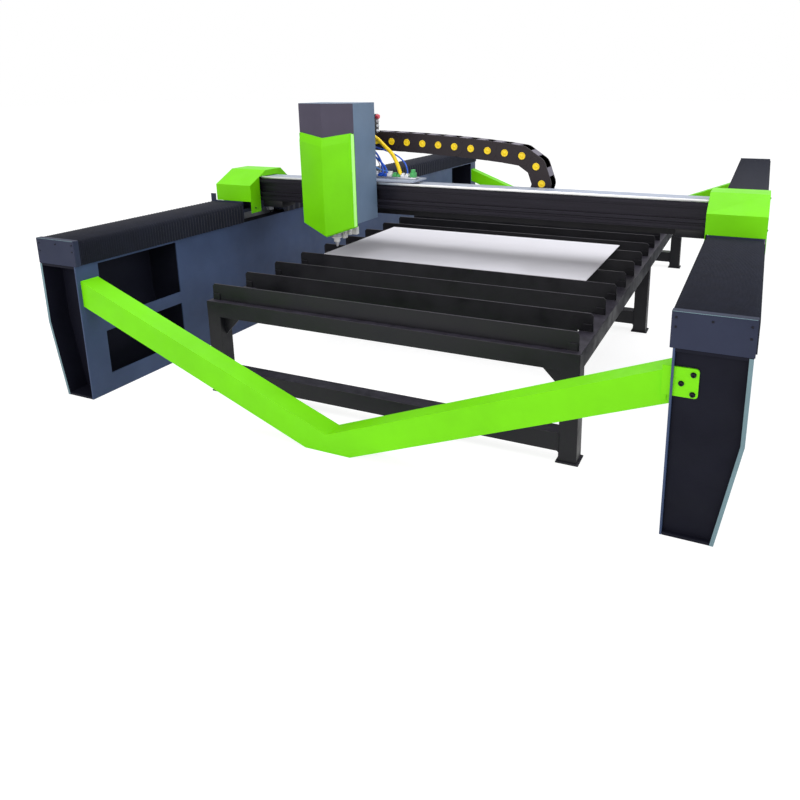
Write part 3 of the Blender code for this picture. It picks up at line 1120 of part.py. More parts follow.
def build():
    clear_scene()
    navy = paint("runway_paint", (0.028, 0.030, 0.050), 0.45)
    slate = paint("panel_paint", (0.085, 0.105, 0.150), 0.45)
    grey = paint("cap_paint", (0.055, 0.058, 0.085), 0.45)
    rubber = paint("bellows_fabric", (0.010, 0.009, 0.012), 0.75)
    green = paint("green_paint", (0.245, 0.800, 0.012), 0.35)
    black = paint("table_paint", (0.008, 0.008, 0.011), 0.55)
    sheet = paint("bare_sheet", (0.430, 0.420, 0.410), 0.40, 1.0)
    steel = paint("ground_steel", (0.380, 0.390, 0.400), 0.30, 1.0)
    beam_black = paint("beam_anodised", (0.012, 0.012, 0.016), 0.35, 0.4)
    motor_black = paint("motor_paint", (0.015, 0.015, 0.017), 0.40)
    plastic = paint("chain_plastic", (0.012, 0.009, 0.009), 0.50)
    white = paint("head_aluminium", (0.750, 0.750, 0.740), 0.35, 0.2)
    hose = paint("hose_yellow", (0.800, 0.470, 0.010), 0.45)
    dark = paint("head_paint", (0.060, 0.062, 0.080), 0.45)

    for side, word in ((-1, "left"), (1, "right")):
        covered = side > 0
        recess = COVERED_END_RECESS if covered else END_RECESS
        runway_shell(side, word + "_runway_shell", recess, navy)
        runway_panel(side, word + "_runway_panel", covered, slate)
        guide_bed(side, word + "_guide_bed", steel)
        end_cap(side, -1, "front_" + word + "_end_cap", grey)
        end_cap(side, 1, "rear_" + word + "_end_cap", grey)

    brace(-1, "front_brace", True, green)
    brace(1, "rear_brace", False, green)
    centres = slat_centres()
    table_portal("table_portal_front", centres[0], black)
    table_portal("table_portal_middle", (centres[0] + centres[-1]) / 2, black, under_rails=True)
    table_portal("table_portal_rear", centres[-1], black)
    table_rail(-1, "table_rail_left", black)
    table_rail(1, "table_rail_right", black)
    for number, centre in enumerate(centres, start=1):
        slat(f"slat_{number:02d}", centre, centres[0] < centre < centres[-1], black)
    steel_sheet("steel_sheet", sheet)

    gantry = joint_empty("gantry_travel", (GANTRY_SHIFT, RAIL_FACE_Y, BED_TOP))
    carriage = joint_empty("carriage_travel", (CARRIAGE_X, CARRIAGE_BACK_Y, LOWER_RAIL_Z))
    lift = joint_empty("head_lift", (SCREW_X, SCREW_Y, SCREW_BOTTOM))
    loop = joint_empty("chain_loop_travel", (CHAIN_BEND_X, CHAIN_FRONT_Y, CHAIN_CENTRE_Z))
    wall_gap = COVER_SHEET + TOUCH_GAP
    beam = gantry_beam("gantry_beam", cover_faces(-1)[1] + wall_gap, cover_faces(1)[1] - wall_gap, beam_black)
    riders = [beam, cable_tray("cable_tray", black)]
    upright = Matrix.Identity(3)
    for side, word in ((-1, "left"), (1, "right")):
        axis = (side * (INNER_FACE + pinion_offset()), drive_y())
        bellows_front = COVER_FRONT_Y - SADDLE_FLANGE - 2 * TOUCH_GAP
        bellows_rear = COVER_REAR_Y + SADDLE_FLANGE + 2 * TOUCH_GAP
        cap_back = RUNWAY_END - CAP_DEPTH - TOUCH_GAP
        pinion_low = BED_TOP + RUNNING_GAP
        shaft = SADDLE_TOP - pinion_low - PINION_WIDTH
        riders += [
            saddle(side, word + "_saddle", side < 0, grey),
            end_cover(side, word + "_gantry_cover", side > 0, green),
            motor(word + "_drive_motor", (*axis, SADDLE_TOP + TOUCH_GAP), upright, MOTOR_WIDTH, MOTOR_LENGTH,
                  motor_black),
            pinion(word + "_pinion", (*axis, pinion_low), upright, shaft, steel)]
        bellows(side, word + "_front_bellows", -cap_back, bellows_front, rubber)
        bellows(side, word + "_rear_bellows", bellows_rear, cap_back, rubber)

    lower_links = run_links(CHAIN_BEND_X - CHAIN_FIXED_X)
    upper_links = run_links(CHAIN_BEND_X - CHAIN_ARM_X)
    end_gap = TOUCH_GAP / CHAIN_PITCH / 2
    lower = chain_run("chain_lower_run", lower_run_point, lower_links, 0, end_gap / lower_links, plastic)
    upper = chain_run("chain_upper_run", upper_run_point, upper_links, end_gap / upper_links, 0, plastic)
    bend = chain_run("chain_loop", bend_point, CHAIN_BEND_LINKS, end_gap / CHAIN_BEND_LINKS,
                     end_gap / CHAIN_BEND_LINKS, plastic)
    riders.append(lower)
    hang(gantry, *riders, carriage, loop)
    hang(loop, bend)

    towards_back = Matrix.Rotation(math.radians(90), 3, "X")
    towards_front = Matrix.Rotation(math.radians(-90), 3, "X")
    pinion_front = BAND_FACE_Y + BEAM_BAND_STEP - CROSS_RACK_DEPTH
    cross_shaft = pinion_front - CARRIAGE_FRONT_Y
    hang(carriage, carriage_plate("carriage_plate", grey), head_cover("head_cover", dark),
         front_panel("head_front_panel", green), upper, lift, hose_bundle("hose_bundle", hose),
         motor("cross_drive_motor", (CROSS_MOTOR_X, CARRIAGE_FRONT_Y - TOUCH_GAP, CROSS_PINION_Z), towards_back,
               MOTOR_WIDTH, CROSS_MOTOR_LENGTH, motor_black),
         pinion("cross_pinion", (CROSS_MOTOR_X, pinion_front + PINION_WIDTH, CROSS_PINION_Z), towards_back,
                cross_shaft, steel),
         motor("lift_motor", (SCREW_X, SCREW_Y, LIFT_MOTOR_SEAT + TOUCH_GAP), upright, LIFT_MOTOR_WIDTH,
               LIFT_MOTOR_LENGTH, motor_black),
         lift_screw("lift_screw", steel))
    hang(lift, cutting_head("cutting_head", white), nozzle("nozzle", white))


build()
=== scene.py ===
"""Dresses the gantry laser cutter: finishes, small parts, light and camera.

Everything is in metres in the model's own frame: +X right along the beam, +Y away along the runways,
+Z up, with the origin on the floor at the middle of the machine.
"""
import math

import bmesh
import bpy
from bpy.props import FloatProperty, FloatVectorProperty, IntProperty, PointerProperty
from mathutils import Matrix, Vector


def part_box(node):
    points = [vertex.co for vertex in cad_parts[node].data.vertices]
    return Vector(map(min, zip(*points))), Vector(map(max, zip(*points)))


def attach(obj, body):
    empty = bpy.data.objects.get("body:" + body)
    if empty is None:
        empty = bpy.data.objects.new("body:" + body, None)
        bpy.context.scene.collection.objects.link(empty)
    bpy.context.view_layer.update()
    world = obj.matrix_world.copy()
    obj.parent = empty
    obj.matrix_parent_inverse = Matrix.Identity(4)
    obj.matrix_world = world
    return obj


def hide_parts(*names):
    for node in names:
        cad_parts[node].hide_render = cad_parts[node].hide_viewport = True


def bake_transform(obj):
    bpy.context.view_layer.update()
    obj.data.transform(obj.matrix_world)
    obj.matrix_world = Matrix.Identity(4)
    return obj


bl_info = {
    "name": "Gantry laser cutter dressing",
    "version": (1, 0, 0),
    "blender": (4, 5, 0),
    "location": "3D View > Sidebar > Cutter",
    "description": "Finishes and small parts for an open gantry laser cutter",
    "category": "Object",
}

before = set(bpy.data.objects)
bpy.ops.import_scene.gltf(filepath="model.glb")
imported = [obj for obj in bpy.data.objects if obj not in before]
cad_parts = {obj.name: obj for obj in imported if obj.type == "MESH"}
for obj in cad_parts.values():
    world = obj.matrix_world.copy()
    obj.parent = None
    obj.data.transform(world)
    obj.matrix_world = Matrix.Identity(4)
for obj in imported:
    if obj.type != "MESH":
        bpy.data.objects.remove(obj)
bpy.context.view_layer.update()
SIDES = ((-1, "left"), (1, "right"))
ENDS = ((-1, "front"), (1, "rear"))


# Sizes that follow from the model's own pieces

def low(node):
    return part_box(node)[0]


def high(node):
    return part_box(node)[1]


INNER_FACE = low("right_runway_panel").x
RUNWAY_WIDTH = high("right_runway_shell").x - INNER_FACE
RUNWAY_END = high("right_runway_panel").y
RUNWAY_TOP = high("right_runway_panel").z
RUNWAY_FOOT, RUNWAY_BREAK = 0.1825, 0.313  # width of the shell's foot, and how far down its taper starts
GUARD_TOP = high("front_left_end_cap").z
BEAM_TOP = high("gantry_beam").z
BEAM_BOTTOM = low("gantry_beam").z
RAIL_FACE_Y = low("gantry_beam").y
BEAM_REAR_Y = high("gantry_beam").y
CHAIN_FRONT_Y = low("chain_loop").y
CHAIN_REAR_Y = high("chain_loop").y


def srgb(text):
    """Linear colour for an sRGB hex value."""
    parts = [int(text[index:index + 2], 16) / 255 for index in (1, 3, 5)]
    return tuple(part / 12.92 if part <= 0.04045 else ((part + 0.055) / 1.055) ** 2.4 for part in parts)


def colour_property(name, description, text):
    return FloatVectorProperty(name=name, description=description, subtype="COLOR", size=3, min=0.0, max=1.0,
                               default=srgb(text))


def length_property(name, description, metres):
    return FloatProperty(name=name, description=description, default=metres, min=0.0, subtype="DISTANCE",
                         unit="LENGTH")


class CutterColours(bpy.types.PropertyGroup):
    """Paints, metals and plastics of the machine."""
    green: colour_property("Lime coat", "Powder coat of the braces, covers and front panel", "#74D602")
    # paler lime: a painted highlight of the light on the front panel's rims
    rim: colour_property("Lime rim", "Pale lime painted highlight on the front panel's folded rims", "#B6FF8A")
    shell: colour_property("Runway coat", "Dark powder coat of the runways' outer shells", "#12131E")
    panel: colour_property("Panel coat", "Slate powder coat of the runways' inner panels", "#384664")
    cap: colour_property("Cap coat", "Grey violet powder coat of the end caps", "#2C3144")
    head: colour_property("Head coat", "Grey coat of the tall head cover", "#66798F")
    # lighter teal grey: a painted highlight of the light on the plates' cut edges
    edge: colour_property("Plate edge", "Teal grey painted highlight on the walls' cut edges", "#6D8890")
    # darker violet grey than the head coat: painted shade on the head's front facets
    brow: colour_property("Brow coat", "Darker violet grey of the plate above the front panel, as painted shade", "#464252")
    table: colour_property("Table enamel", "Black enamel of the table and slats", "#0F0F15")
    bellows: colour_property("Bellows fabric", "Coated fabric of the way covers", "#0E1220")
    beam: colour_property("Beam anodising", "Dark anodised face of the beam", "#201E27")
    # pale slate: a painted highlight of the bright reflection on the beam's top
    deck: colour_property("Deck paint", "Pale slate paint of the beam's top plate, lighter as a painted highlight", "#9BA3B4")
    chain: colour_property("Chain nylon", "Black brown nylon of the drag chain", "#21191E")
    # lighter grey than the chain: a painted sheen of the light on the crossbars
    bars: colour_property("Crossbar nylon", "Grey nylon of the chain's crossbars, lighter as a painted sheen", "#67626F")
    pins: colour_property("Pin caps", "Yellow acetal caps of the chain's pins", "#FFD608")
    hose: colour_property("Gas hose", "Yellow polyurethane hose", "#FFD400")
    tube: colour_property("Air tube", "Blue nylon tube", "#1F57C8")
    sheet: colour_property("Sheet steel", "Rolled sheet lying on the slats", "#D9D8DF")


class CutterDetails(bpy.types.PropertyGroup):
    """Sizes and counts of the small parts."""
    front_folds: IntProperty(name="Front folds", description="Folds of each front bellows", default=66, min=4)
    rear_folds: IntProperty(name="Rear folds", description="Folds of each rear bellows", default=80, min=4)
    fold_depth: length_property("Fold depth", "Depth of a bellows fold", 0.009)
    cap_screw: length_property("Cap screw radius", "Head radius of the end caps' screws", 0.0042)
    bracket_bolt: length_property("Bracket bolt radius", "Head radius of the brace bracket's bolts", 0.0073)
    rail_bolt_pitch: length_property("Rail bolt pitch", "Spacing of the cross rails' bolts", 0.060)
    rack_pitch: length_property("Rack tooth pitch", "Spacing of the rack's teeth", 0.0063)
    weld_radius: length_property("Weld size", "Radius of the weld beads", 0.0045)
    link_pitch: length_property("Chain pitch", "Spacing of the chain's pins", 0.1051)
    pin_radius: length_property("Pin cap radius", "Radius of the chain's yellow pin caps", 0.0210)
    edge_radius: length_property("Edge radius", "Rounding of the sheet metal's edges", 0.0014)


class CutterStudio(bpy.types.PropertyGroup):
    """Floor, lamps and camera."""
    floor: colour_property("Floor", "Pale studio floor", "#F4F4F5")
    ambient: FloatProperty(name="Ambient", description="Strength of the even light", default=0.52, min=0.0)
    overhead: FloatProperty(name="Overhead", description="Power of the lamp above", default=330.0, min=0.0,
                            subtype="POWER")
    front: FloatProperty(name="Front", description="Power of the lamp in front", default=290.0, min=0.0,
                         subtype="POWER")
    right: FloatProperty(name="Right", description="Power of the lamp on the right", default=330.0, min=0.0,
                         subtype="POWER")
    focal: FloatProperty(name="Focal length", description="Camera lens in millimetres", default=31.867,
                         min=1.0)
    shift_x: FloatProperty(name="Shift X", description="Sideways lens shift", default=-0.0580)
    shift_y: FloatProperty(name="Shift Y", description="Upward lens shift", default=-0.1671)
    place: FloatVectorProperty(name="Camera place", description="Where the camera stands", size=3,
                               subtype="TRANSLATION", default=(1.6442, -4.9618, 1.5619))
    yaw: FloatProperty(name="Yaw", description="Turn to the left of +Y", default=0.4248, subtype="ANGLE")
    pitch: FloatProperty(name="Pitch", description="Tilt above the horizon", default=-0.2508, subtype="ANGLE")
    roll: FloatProperty(name="Roll", description="Turn about the view", default=-0.0090, subtype="ANGLE")


def colours():
    return bpy.context.scene.cutter_colours


def details():
    return bpy.context.scene.cutter_details


# Materials

def add_node(tree, kind, inputs=None, **settings):
    """Add a node, set its own settings, and fill its inputs with values or with other nodes' outputs."""
    node = tree.nodes.new(kind)
    for name, value in settings.items():
        setattr(node, name, value)
    for name, value in (inputs or {}).items():
        if isinstance(value, bpy.types.NodeSocket):
            tree.links.new(value, node.inputs[name])
        else:
            node.inputs[name].default_value = value
    return node


def per_metre(millimetres):
    """Noise scale whose features are that many millimetres across."""
    return 1000.0 / millimetres


def new_surface(name, settings):
    """Empty material with its Principled shader and object-space coordinates."""
    material = bpy.data.materials.new(name)
    material.use_nodes = True
    tree = material.node_tree
    shader = tree.nodes["Principled BSDF"]
    for key, value in settings.items():
        shader.inputs[key].default_value = value
    coordinates = add_node(tree, "ShaderNodeTexCoord").outputs["Object"]
    return material, tree, shader, coordinates


def shade_colour(tree, shader, colour, factor, darker, lighter):
    """Colour that runs between a darker and a lighter shade of itself as the factor goes from 0 to 1."""
    mix = add_node(tree, "ShaderNodeMix", data_type="RGBA")
    tree.links.new(factor, mix.inputs[0])
    mix.inputs[6].default_value = (*[part * darker for part in colour], 1.0)
    mix.inputs[7].default_value = (*[min(part * lighter, 1.0) for part in colour], 1.0)
    tree.links.new(mix.outputs[2], shader.inputs["Base Color"])


def ranged(tree, value, low_value, high_value, from_low=0.3, from_high=0.7):
    """Bring a noise value into a range."""
    node = add_node(tree, "ShaderNodeMapRange", {"Value": value, "From Min": from_low, "From Max": from_high,
                                                 "To Min": low_value, "To Max": high_value})
    return node.outputs["Result"]


def dust_and_top_highlight(tree, shader, colour, coordinates, amount, patch_millimetres):
    """Pale colour on faces that look up, thicker in patches: dust, and a painted highlight of the light from
    above.
    """
    source = shader.inputs["Base Color"].links[0].from_socket
    facing = add_node(tree, "ShaderNodeSeparateXYZ",
                      {"Vector": add_node(tree, "ShaderNodeNewGeometry").outputs["Normal"]}).outputs["Z"]
    upward = ranged(tree, facing, 0.0, amount, 0.4, 1.0)
    patches = add_node(tree, "ShaderNodeTexNoise", {
        "Vector": coordinates, "Scale": per_metre(patch_millimetres), "Detail": 4.0}).outputs["Fac"]
    share = add_node(tree, "ShaderNodeMath", operation="MULTIPLY")
    tree.links.new(upward, share.inputs[0])
    tree.links.new(ranged(tree, patches, 0.35, 1.0), share.inputs[1])
    mix = add_node(tree, "ShaderNodeMix", data_type="RGBA")
    tree.links.new(share.outputs[0], mix.inputs[0])
    tree.links.new(source, mix.inputs[6])
    mix.inputs[7].default_value = (*colour, 1.0)
    tree.links.new(mix.outputs[2], shader.inputs["Base Color"])


def powder_coat(name, colour, roughness, specular, cloud):
    """Polyester powder coat, sprayed and baked: an even colour with faint clouds, the fine orange peel of
    the melted powder, and a soft sheen."""
    material, tree, shader, coordinates = new_surface(name, {"Specular IOR Level": specular})
    clouds = add_node(tree, "ShaderNodeTexNoise", {
        "Vector": coordinates, "Scale": per_metre(350), "Detail": 5.0, "Roughness": 0.6}).outputs["Fac"]
    shade_colour(tree, shader, colour, ranged(tree, clouds, 0.0, 1.0), *cloud)
    smears = add_node(tree, "ShaderNodeTexNoise", {
        "Vector": coordinates, "Scale": per_metre(90), "Detail": 3.0})
    tree.links.new(ranged(tree, smears.outputs["Fac"], roughness * 0.88, roughness * 1.14),
                   shader.inputs["Roughness"])
    # the real peel is about 1 mm across; it is drawn at 7 mm so that it shows from across the room
    peel = add_node(tree, "ShaderNodeTexNoise", {"Vector": coordinates, "Scale": per_metre(7), "Detail": 2.0})
    bump = add_node(tree, "ShaderNodeBump", {
        "Height": peel.outputs["Fac"], "Strength": 0.25, "Distance": 0.0008})
    tree.links.new(bump.outputs["Normal"], shader.inputs["Normal"])
    return material


def brushed_metal(name, colour, roughness, grain_millimetres, direction, bare=1.0):
    """Rolled or ground steel: a cool grey metal with fine straight streaks along its rolling direction and
    broad, slightly duller patches. The dry grey oxide on rolled sheet hides part of the bare metal."""
    material, tree, shader, coordinates = new_surface(name, {"Metallic": bare})
    stretch = [0.04 if axis == direction else 1.0 for axis in "XYZ"]
    along = add_node(tree, "ShaderNodeMapping", {"Vector": coordinates, "Scale": stretch}).outputs["Vector"]
    grain = add_node(tree, "ShaderNodeTexNoise", {"Vector": along, "Scale": per_metre(grain_millimetres),
                                                  "Detail": 3.0}).outputs["Fac"]
    patches = add_node(tree, "ShaderNodeTexNoise", {
        "Vector": coordinates, "Scale": per_metre(260), "Detail": 5.0, "Roughness": 0.65}).outputs["Fac"]
    both = add_node(tree, "ShaderNodeMath", operation="MULTIPLY_ADD")
    tree.links.new(grain, both.inputs[0])
    both.inputs[1].default_value = 0.45
    tree.links.new(ranged(tree, patches, 0.05, 0.55, 0.25, 0.75), both.inputs[2])
    shade_colour(tree, shader, colour, both.outputs[0], 0.90, 1.06)
    tree.links.new(ranged(tree, patches, roughness * 0.85, roughness * 1.2), shader.inputs["Roughness"])
    bump = add_node(tree, "ShaderNodeBump", {"Height": grain, "Strength": 0.12, "Distance": 0.0005})
    tree.links.new(bump.outputs["Normal"], shader.inputs["Normal"])
    return material


def coated_fabric(name, colour):
    """Polyester fabric with a rubber coat, pressed into folds: nearly matt, with the weave just telling
    through the coat and a paler grey on the tops of the folds."""
    material, tree, shader, coordinates = new_surface(name, {"Specular IOR Level": 0.22, "Sheen Weight": 0.10,
                                                             "Sheen Roughness": 0.5})
    tone = add_node(tree, "ShaderNodeTexNoise", {
        "Vector": coordinates, "Scale": per_metre(60), "Detail": 4.0})
    shade_colour(tree, shader, colour, ranged(tree, tone.outputs["Fac"], 0.0, 1.0), 0.82, 1.16)
    # paler grey on faces that look up, in patches
    dust_and_top_highlight(tree, shader, srgb("#3C3B4C"), coordinates, 0.10, 70)
    shader.inputs["Roughness"].default_value = 0.78
    # threads are 0.5 mm apart; they are drawn 4 mm apart so that they show
    warp = add_node(tree, "ShaderNodeTexWave", {"Vector": coordinates, "Scale": per_metre(4) / (2 * math.pi)},
                    bands_direction="DIAGONAL")
    bump = add_node(tree, "ShaderNodeBump", {
        "Height": warp.outputs["Fac"], "Strength": 0.25, "Distance": 0.0006})
    tree.links.new(bump.outputs["Normal"], shader.inputs["Normal"])
    return material


def black_enamel(name, colour):
    """Alkyd enamel brushed on tube and flat bar: black with a brown cast, uneven gloss, and dust, spatter
    and a painted violet highlight on what looks up."""
    material, tree, shader, coordinates = new_surface(name, {"Specular IOR Level": 0.28})
    tone = add_node(tree, "ShaderNodeTexNoise", {
        "Vector": coordinates, "Scale": per_metre(140), "Detail": 6.0, "Roughness": 0.62})
    shade_colour(tree, shader, colour, ranged(tree, tone.outputs["Fac"], 0.0, 1.0), 0.75, 1.45)
    # pale violet on faces that look up: dust, and a painted highlight of the light on the slats' tops
    dust_and_top_highlight(tree, shader, srgb("#555060"), coordinates, 0.36, 45)
    tree.links.new(ranged(tree, tone.outputs["Fac"], 0.36, 0.62), shader.inputs["Roughness"])
    # brush marks are about 2 mm apart; they are drawn at 9 mm so that they show
    marks = add_node(tree, "ShaderNodeTexNoise", {
        "Vector": coordinates, "Scale": per_metre(9), "Detail": 3.0})
    bump = add_node(tree, "ShaderNodeBump", {
        "Height": marks.outputs["Fac"], "Strength": 0.3, "Distance": 0.0010})
    tree.links.new(bump.outputs["Normal"], shader.inputs["Normal"])
    return material


def anodised_aluminium(name, colour, roughness):
    """Extruded and anodised aluminium: a dark metal face with faint die lines along its length."""
    material, tree, shader, coordinates = new_surface(name, {"Metallic": 0.55, "Specular IOR Level": 0.35})
    along = add_node(tree, "ShaderNodeMapping", {"Vector": coordinates, "Scale": (0.03, 1.0, 1.0)})
    lines = add_node(tree, "ShaderNodeTexNoise", {"Vector": along.outputs["Vector"], "Scale": per_metre(6),
                                                  "Detail": 3.0}).outputs["Fac"]
    shade_colour(tree, shader, colour, ranged(tree, lines, 0.0, 1.0), 0.8, 1.3)
    tree.links.new(ranged(tree, lines, roughness * 0.9, roughness * 1.15), shader.inputs["Roughness"])
    bump = add_node(tree, "ShaderNodeBump", {"Height": lines, "Strength": 0.1, "Distance": 0.0005})
    tree.links.new(bump.outputs["Normal"], shader.inputs["Normal"])
    return material


def moulded_plastic(name, colour, roughness, specular=0.4, grain_millimetres=3.0, grain=0.2):
    """Injection moulded nylon, acetal or polyurethane: one deep colour, a fine spark-eroded grain and a
    low, even gloss."""
    material, tree, shader, coordinates = new_surface(name, {"Specular IOR Level": specular})
    tone = add_node(tree, "ShaderNodeTexNoise", {
        "Vector": coordinates, "Scale": per_metre(45), "Detail": 3.0})
    shade_colour(tree, shader, colour, ranged(tree, tone.outputs["Fac"], 0.0, 1.0), 0.90, 1.08)
    tree.links.new(ranged(tree, tone.outputs["Fac"], roughness * 0.9, roughness * 1.1),
                   shader.inputs["Roughness"])
    # the mould's grain is about 0.1 mm; it is drawn a few millimetres wide so that it shows
    spark = add_node(tree, "ShaderNodeTexNoise", {
        "Vector": coordinates, "Scale": per_metre(grain_millimetres)})
    bump = add_node(tree, "ShaderNodeBump", {"Height": spark.outputs["Fac"], "Strength": grain,
                                             "Distance": 0.0004})
    tree.links.new(bump.outputs["Normal"], shader.inputs["Normal"])
    return material


FINISHES = {
    "lime powder coated steel": lambda name: powder_coat(name, colours().green, 0.46, 0.18, (0.92, 1.07)),
    # pale lime rim finish: a painted highlight on the folded rims
    "pale lime powder coated steel": lambda name: powder_coat(name, colours().rim, 0.42, 0.20, (0.96, 1.03)),
    "dark powder coated steel": lambda name: powder_coat(name, colours().shell, 0.60, 0.10, (0.80, 1.30)),
    "slate powder coated steel": lambda name: powder_coat(name, colours().panel, 0.50, 0.22, (0.82, 1.22)),
    "violet grey powder coated steel":
        lambda name: powder_coat(name, colours().cap, 0.55, 0.12, (0.86, 1.16)),
    "grey powder coated steel": lambda name: powder_coat(name, colours().head, 0.48, 0.25, (0.88, 1.12)),
    # plate edge finish: a painted highlight of the light on cut edges
    "worn plate edge": lambda name: powder_coat(name, colours().edge, 0.46, 0.28, (0.82, 1.14)),
    # brow finish: painted shade of the head's front facets
    "brow powder coated steel": lambda name: powder_coat(name, colours().brow, 0.50, 0.20, (0.88, 1.12)),
    # pale slate finish: a painted highlight of the reflection on top faces
    "pale slate painted steel": lambda name: powder_coat(name, colours().deck, 0.45, 0.30, (0.90, 1.10)),
    "black enamelled steel": lambda name: black_enamel(name, colours().table),
    "coated polyester fabric": lambda name: coated_fabric(name, colours().bellows),
    "rolled sheet steel": lambda name: brushed_metal(name, colours().sheet, 0.70, 5, "X", 0.45),
    "ground rail steel": lambda name: brushed_metal(name, srgb("#A9ACB2"), 0.30, 3, "X"),
    "ground way steel": lambda name: brushed_metal(name, srgb("#A9ACB2"), 0.30, 3, "Y"),
    "black oxide steel": lambda name: brushed_metal(name, srgb("#2A2A30"), 0.42, 2, "Z"),
    "zinc plated steel": lambda name: brushed_metal(name, srgb("#B4B6BC"), 0.34, 2, "Z"),
    "dark anodised aluminium": lambda name: anodised_aluminium(name, colours().beam, 0.40),
    "white powder coated aluminium":
        lambda name: powder_coat(name, srgb("#F0EFEA"), 0.42, 0.35, (0.96, 1.02)),
    "satin anodised aluminium": lambda name: brushed_metal(name, srgb("#E2E3E4"), 0.36, 2, "Z"),
    "black motor enamel": lambda name: moulded_plastic(name, srgb("#1B1B1F"), 0.42, 0.35, 4.0),
    "black brown nylon": lambda name: moulded_plastic(name, colours().chain, 0.50, 0.30, 3.0, 0.25),
    # crossbar nylon: lighter than the links as a painted sheen
    "grey brown nylon": lambda name: moulded_plastic(name, colours().bars, 0.50, 0.30, 3.0, 0.25),
    "yellow acetal": lambda name: moulded_plastic(name, colours().pins, 0.42, 0.45),
    "yellow polyurethane hose": lambda name: moulded_plastic(name, colours().hose, 0.38, 0.5, 6.0, 0.1),
    "light blue nylon tube": lambda name: moulded_plastic(name, srgb("#5F97DE"), 0.35, 0.5, 6.0, 0.1),
    "blue nylon tube": lambda name: moulded_plastic(name, colours().tube, 0.35, 0.5, 6.0, 0.1),
    "grey cable sheath": lambda name: moulded_plastic(name, srgb("#8F9099"), 0.5, 0.4, 6.0, 0.1),
    "white cable sheath": lambda name: moulded_plastic(name, srgb("#E6E7EA"), 0.5, 0.4, 6.0, 0.1),
    "green connector nylon": lambda name: moulded_plastic(name, srgb("#4FAE62"), 0.45, 0.4, 4.0),
    "red knob nylon": lambda name: moulded_plastic(name, srgb("#D8505E"), 0.4, 0.45, 4.0),
    "white glazed ceramic": lambda name: moulded_plastic(name, srgb("#F1F0EC"), 0.22, 0.5, 5.0, 0.05),
}


def finish(name):
    """A material by its common name, made the first time it is asked for."""
    return bpy.data.materials.get(name) or FINISHES[name](name)


# Shapes

def make_piece(name, bm, material, body, smooth_angle=35.0):
    """Turn a bmesh into a piece with its finish, riding on a body of the model."""
    bmesh.ops.recalc_face_normals(bm, faces=bm.faces)
    mesh = bpy.data.meshes.new(name)
    bm.to_mesh(mesh)
    bm.free()
    mesh.materials.append(finish(material))
    mesh.shade_smooth()
    mesh.set_sharp_from_angle(angle=math.radians(smooth_angle))
    piece = bpy.data.objects.new(name, mesh)
    bpy.context.collection.objects.link(piece)
    if body:
        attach(piece, body)
    return piece


def join_into(bm, part, matrix=None):
    """Copy a bmesh's contents into another and free it."""
    if matrix is not None:
        bmesh.ops.transform(part, matrix=matrix, verts=part.verts)
    mesh = bpy.data.meshes.new("part")
    part.to_mesh(mesh)
    part.free()
    bm.from_mesh(mesh)
    bpy.data.meshes.remove(mesh)


def extruded(outline, axis, start, end, bevel=0.0, segments=2):
    """Closed outline pushed along an axis, with rounded edges: X takes (y, z), Y (x, z), Z (x, y)."""
    def corner(u, v, w):
        return {"X": (w, u, v), "Y": (u, w, v), "Z": (u, v, w)}[axis]

    bm = bmesh.new()
    face = bm.faces.new([bm.verts.new(corner(u, v, start)) for u, v in outline])
    grown = bmesh.ops.extrude_face_region(bm, geom=[face])
    moved = [part for part in grown["geom"] if isinstance(part, bmesh.types.BMVert)]
    bmesh.ops.translate(bm, verts=moved, vec=corner(0, 0, end - start))
    bmesh.ops.recalc_face_normals(bm, faces=bm.faces)
    if bevel:
        bmesh.ops.bevel(bm, geom=list(bm.edges), offset=bevel, segments=segments, profile=0.5, affect="EDGES",
                        clamp_overlap=True)
    return bm


def box_mesh(low_corner, high_corner, bevel=0.001, segments=2):
    """Block between two corners, with rounded edges."""
    outline = [(low_corner[0], low_corner[1]), (high_corner[0], low_corner[1]),
               (high_corner[0], high_corner[1]), (low_corner[0], high_corner[1])]
    return extruded(outline, "Z", low_corner[2], high_corner[2], bevel, segments)


def turned(profile, sides=24):
    """Profile of (radius, height) points revolved about Z."""
    bm = bmesh.new()
    points = [bm.verts.new((radius, 0, height)) for radius, height in profile]
    edges = [bm.edges.new(pair) for pair in zip(points, points[1:])]
    bmesh.ops.spin(bm, geom=points + edges, cent=(0, 0, 0), axis=(0, 0, 1), angle=2 * math.pi, steps=sides)
    bmesh.ops.remove_doubles(bm, verts=bm.verts, dist=1e-6)
    return bm


def facing(direction):
    """Rotation that turns +Z to a direction."""
    return Vector(direction).to_track_quat("Z", "Y").to_matrix().to_4x4()


def socket_screw(radius, height):
    """Button head with a hexagon-sized socket, standing on height 0."""
    socket, depth = radius * 0.48, height * 0.45
    return turned([(0, height - depth), (socket, height - depth), (socket, height * 0.97),
                   (socket * 1.15, height), (radius * 0.78, height * 0.92), (radius * 0.95, height * 0.62),
                   (radius, height * 0.25), (radius, 0.0), (0, 0.0)], 20)


def washer_bolt(radius, height):
    """Cap screw with a deep socket on a thin washer."""
    socket = radius * 0.5
    washer, thickness = radius * 1.35, height * 0.16
    return turned([(0, height * 0.45), (socket, height * 0.45), (socket, height * 0.96),
                   (socket * 1.15, height), (radius * 0.9, height), (radius, height * 0.92),
                   (radius, thickness), (washer, thickness), (washer, 0.0), (0, 0.0)], 24)


def fasteners(name, kind, radius, height, places, direction, material, body):
    """One piece holding like screws at several places, their heads looking along a direction."""
    bm = bmesh.new()
    turn = facing(direction)
    for place in places:
        join_into(bm, kind(radius, height), Matrix.Translation(place) @ turn)
    return make_piece(name, bm, material, body)


